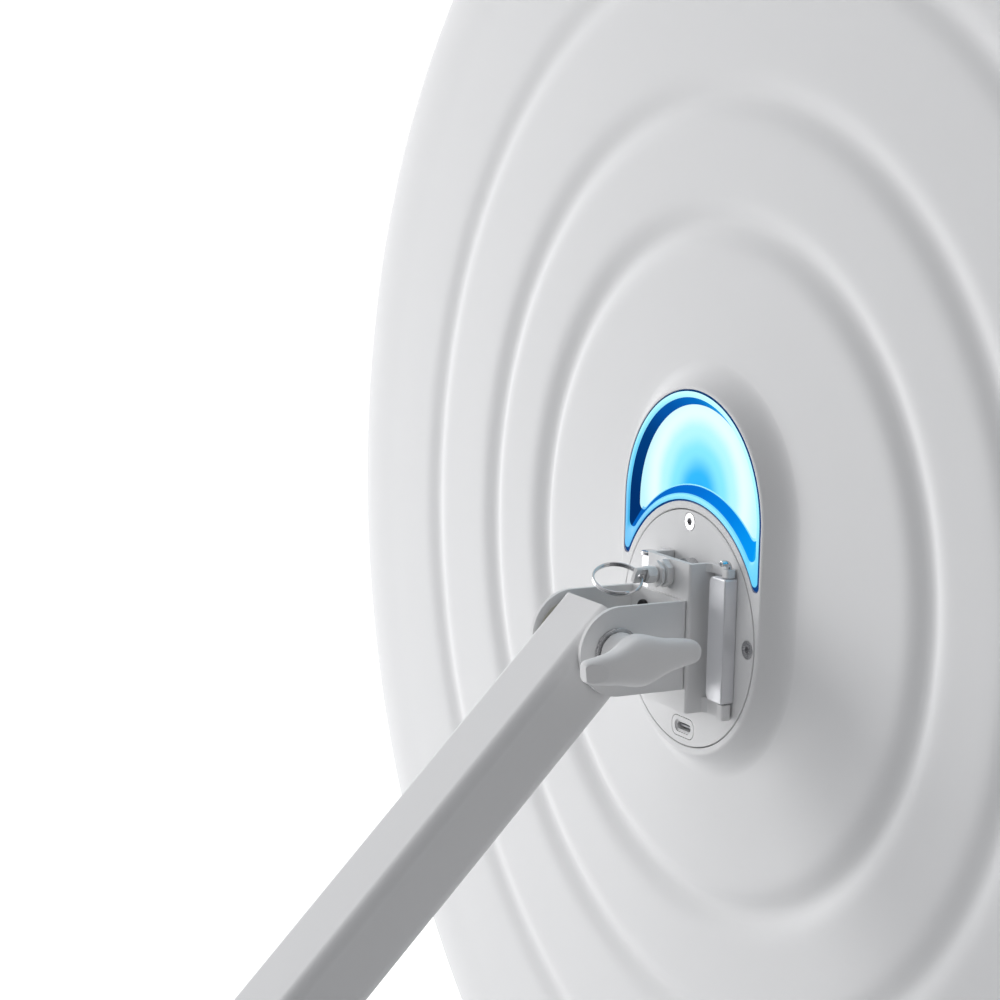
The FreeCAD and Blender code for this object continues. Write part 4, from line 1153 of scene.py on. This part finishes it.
def front():
    r = HEAD_R
    ring = lathe(soft_profile([(262, -54), (r, -54), (r, -48), (270.3, -48), (270.3, -51.9),
                               (262, -51.9)], [0.6, .6, 2.2, .3, .2, .2, .6]), (0, RISE, 0), steps=360)
    posts = [pipe(1.5, 2.7, -52.5, -30, (x, y, 0), steps=24) for x, y in rim_screw_places()]
    publish(joined([ring] + posts), "bezel_front", "head", ["white_shell"],
            ["front_bezel"], angle=40)
    for node, key in FRONT_NODES.items():
        keep_node(node, key)
    lo, hi = local_box("handle_grip")
    length = 96.0
    base = lo.z + length
    grip = [(0.0, lo.z), (12.5, lo.z), (14.6, lo.z + 0.8), (15.4, lo.z + 3.2)]
    for k in range(1, 60):
        t = k / 60
        z = lo.z + 4 + (length - 14) * t
        ridge = 0.35 * (0.5 + 0.5 * math.cos(2 * math.pi * (z - lo.z) / 6.0)) if 0.1 < t < 0.82 else 0.2
        grip.append((15.2 + 2.3 * t * t + ridge, z))
    grip += [(18.2, base - 6), (20.5, base - 3), (21.9, base - 0.9), (22, base), (0, base)]
    publish(lathe(grip, (0, RISE, 0), steps=96), "grip_handle", "head",
            ["grey_plastic"], ["handle_grip"], angle=60)
    lo, hi = local_box("handle_collar")
    collar = lathe(soft_profile([(0, lo.z), (27, lo.z), (27, hi.z), (0, hi.z)], [0, 1.6, .8, 0], 8),
                   (0, RISE, 0), steps=96)
    publish(collar, "collar_handle", "head", ["satin_alu"], ["handle_collar"], angle=60)
    copy_node("handle_socket", "socket_handle", "head", "grey_plastic", edge=0.3)


# ------------------------------------------------------------------ stage, lights, camera
def stage():
    """A round pale floor, mostly behind the lamp as the camera sees it. It carries painted light: it
    glows bright far behind the lamp and fades to dim near and under it.
    """
    lo, hi = CAD_BOX
    bm = bmesh.new()
    bmesh.ops.create_circle(bm, cap_ends=True, segments=128, radius=3.2)
    middle = (lo + hi) / 2 + BEHIND.normalized() * 2.6
    bmesh.ops.translate(bm, verts=bm.verts, vec=(middle.x, middle.y, lo.z - 0.06))
    floor = to_object(bm, "floor")
    floor.data.materials.append(MATERIALS["floor"])
    tree = MATERIALS["floor"].node_tree
    shader = tree.nodes["Principled BSDF"]
    place = tree.nodes.new("ShaderNodeTexCoord")
    # painted light on the floor: emission strength follows distance behind the lamp, about 0.05 near it
    # and 1.0 far behind it, a painted pool of light and not a lamp
    reach = tree.nodes.new("ShaderNodeVectorMath")
    reach.operation = "DOT_PRODUCT"
    reach.inputs[1].default_value = Vector((BEHIND.x, BEHIND.y, 0)).normalized()
    tree.links.new(place.outputs["Object"], reach.inputs[0])
    glow = tree.nodes.new("ShaderNodeMapRange")
    glow.interpolation_type = "SMOOTHSTEP"
    glow.inputs["From Min"].default_value = 0.05
    glow.inputs["From Max"].default_value = 0.6
    glow.inputs["To Min"].default_value = 0.05
    glow.inputs["To Max"].default_value = 1.0
    tree.links.new(reach.outputs["Value"], glow.inputs["Value"])
    tree.links.new(glow.outputs["Result"], shader.inputs["Emission Strength"])
    shader.inputs["Emission Color"].default_value = (1, 1, 1, 1)


ROOM_BRIGHT = TURN.to_3x3() @ Vector((-0.75, 0.62, -0.05))
BEHIND = TURN.to_3x3() @ Vector((-0.868, -0.158, -0.471))
DIM = (0.05, 0.052, 0.056)
PALE = (0.75, 0.757, 0.778)
WHITE = (1.08, 1.08, 1.08)


def world():
    """A soft room: pale all round, white behind the lamp, dimmer at its right."""
    surroundings = bpy.data.worlds.new("room")
    bpy.context.scene.world = surroundings
    surroundings.use_nodes = True
    tree = surroundings.node_tree
    back = tree.nodes["Background"]
    place = tree.nodes.new("ShaderNodeTexCoord")

    def lobe(direction, low, high, colours):
        measure = tree.nodes.new("ShaderNodeVectorMath")
        measure.operation = "DOT_PRODUCT"
        measure.inputs[1].default_value = Vector(direction).normalized()
        tree.links.new(place.outputs["Generated"], measure.inputs[0])
        span = tree.nodes.new("ShaderNodeMapRange")
        span.interpolation_type = "SMOOTHSTEP"
        span.inputs["From Min"].default_value = low
        span.inputs["From Max"].default_value = high
        tree.links.new(measure.outputs["Value"], span.inputs["Value"])
        blend = tree.nodes.new("ShaderNodeMix")
        blend.data_type = "RGBA"
        for socket, colour in zip(("A", "B"), colours):
            if colour is not None:
                blend.inputs[socket].default_value = (*colour, 1)
        tree.links.new(span.outputs["Result"], blend.inputs["Factor"])
        return blend

    room = lobe(ROOM_BRIGHT, -0.7, 0.7, (DIM, PALE))
    behind = lobe(BEHIND, 0.80, 0.90, (None, WHITE))
    tree.links.new(room.outputs["Result"], behind.inputs["A"])
    tree.links.new(behind.outputs["Result"], back.inputs["Color"])
    back.inputs["Strength"].default_value = 1.0


def area_light(name, at, target, size, power, colour=(1, 1, 1)):
    data = bpy.data.lights.new(name, "AREA")
    data.shape = "RECTANGLE"
    data.size, data.size_y = size
    data.energy = power
    data.color = colour
    item = bpy.data.objects.new(name, data)
    bpy.context.scene.collection.objects.link(item)
    place = HEAD @ Vector(at)
    item.location = place
    item.rotation_euler = ((HEAD @ Vector(target)) - place).to_track_quat("-Z", "Y").to_euler()
    return item


def camera():
    data = bpy.data.cameras.new("camera")
    item = bpy.data.objects.new("camera", data)
    bpy.context.scene.collection.objects.link(item)
    azimuth, elevation, roll = 1.0737232, 0.1585690, -0.0218448
    unit = 40.0
    tx, ty, distance = 1.5457189, -1.0660420, 19.9859636
    back = Vector((math.sin(azimuth) * math.cos(elevation), math.sin(elevation),
                   math.cos(azimuth) * math.cos(elevation)))
    right = Vector((0, 1, 0)).cross(back).normalized()
    up = back.cross(right)
    c, s = math.cos(roll), math.sin(roll)
    right, up = right * c - up * s, right * s + up * c
    eye = (-(right * tx) - up * ty + back * distance) * unit
    axes = [TURN.to_3x3() @ axis for axis in (right, up, back)]
    turn = Matrix((axes[0], axes[1], axes[2])).transposed().to_4x4()
    item.matrix_world = Matrix.Translation(HEAD @ eye) @ turn
    data.sensor_width = 36.0
    data.lens = 36.0 * 2.403580
    data.clip_start = 0.05
    data.clip_end = 50
    bpy.context.scene.camera = item


camera()
world()
area_light("key", (-2570, 250, 1700), (0, 20, 0), (1.6, 1.6), 50.0)
bpy.context.scene.view_settings.view_transform = "Standard"
rear_shell()
rim_screws()
status_light()
cover_plate()
bars()
hat_bracket()
clevis()
latch()
split_ring()
pivot_parts()
arm()
front()
stage()
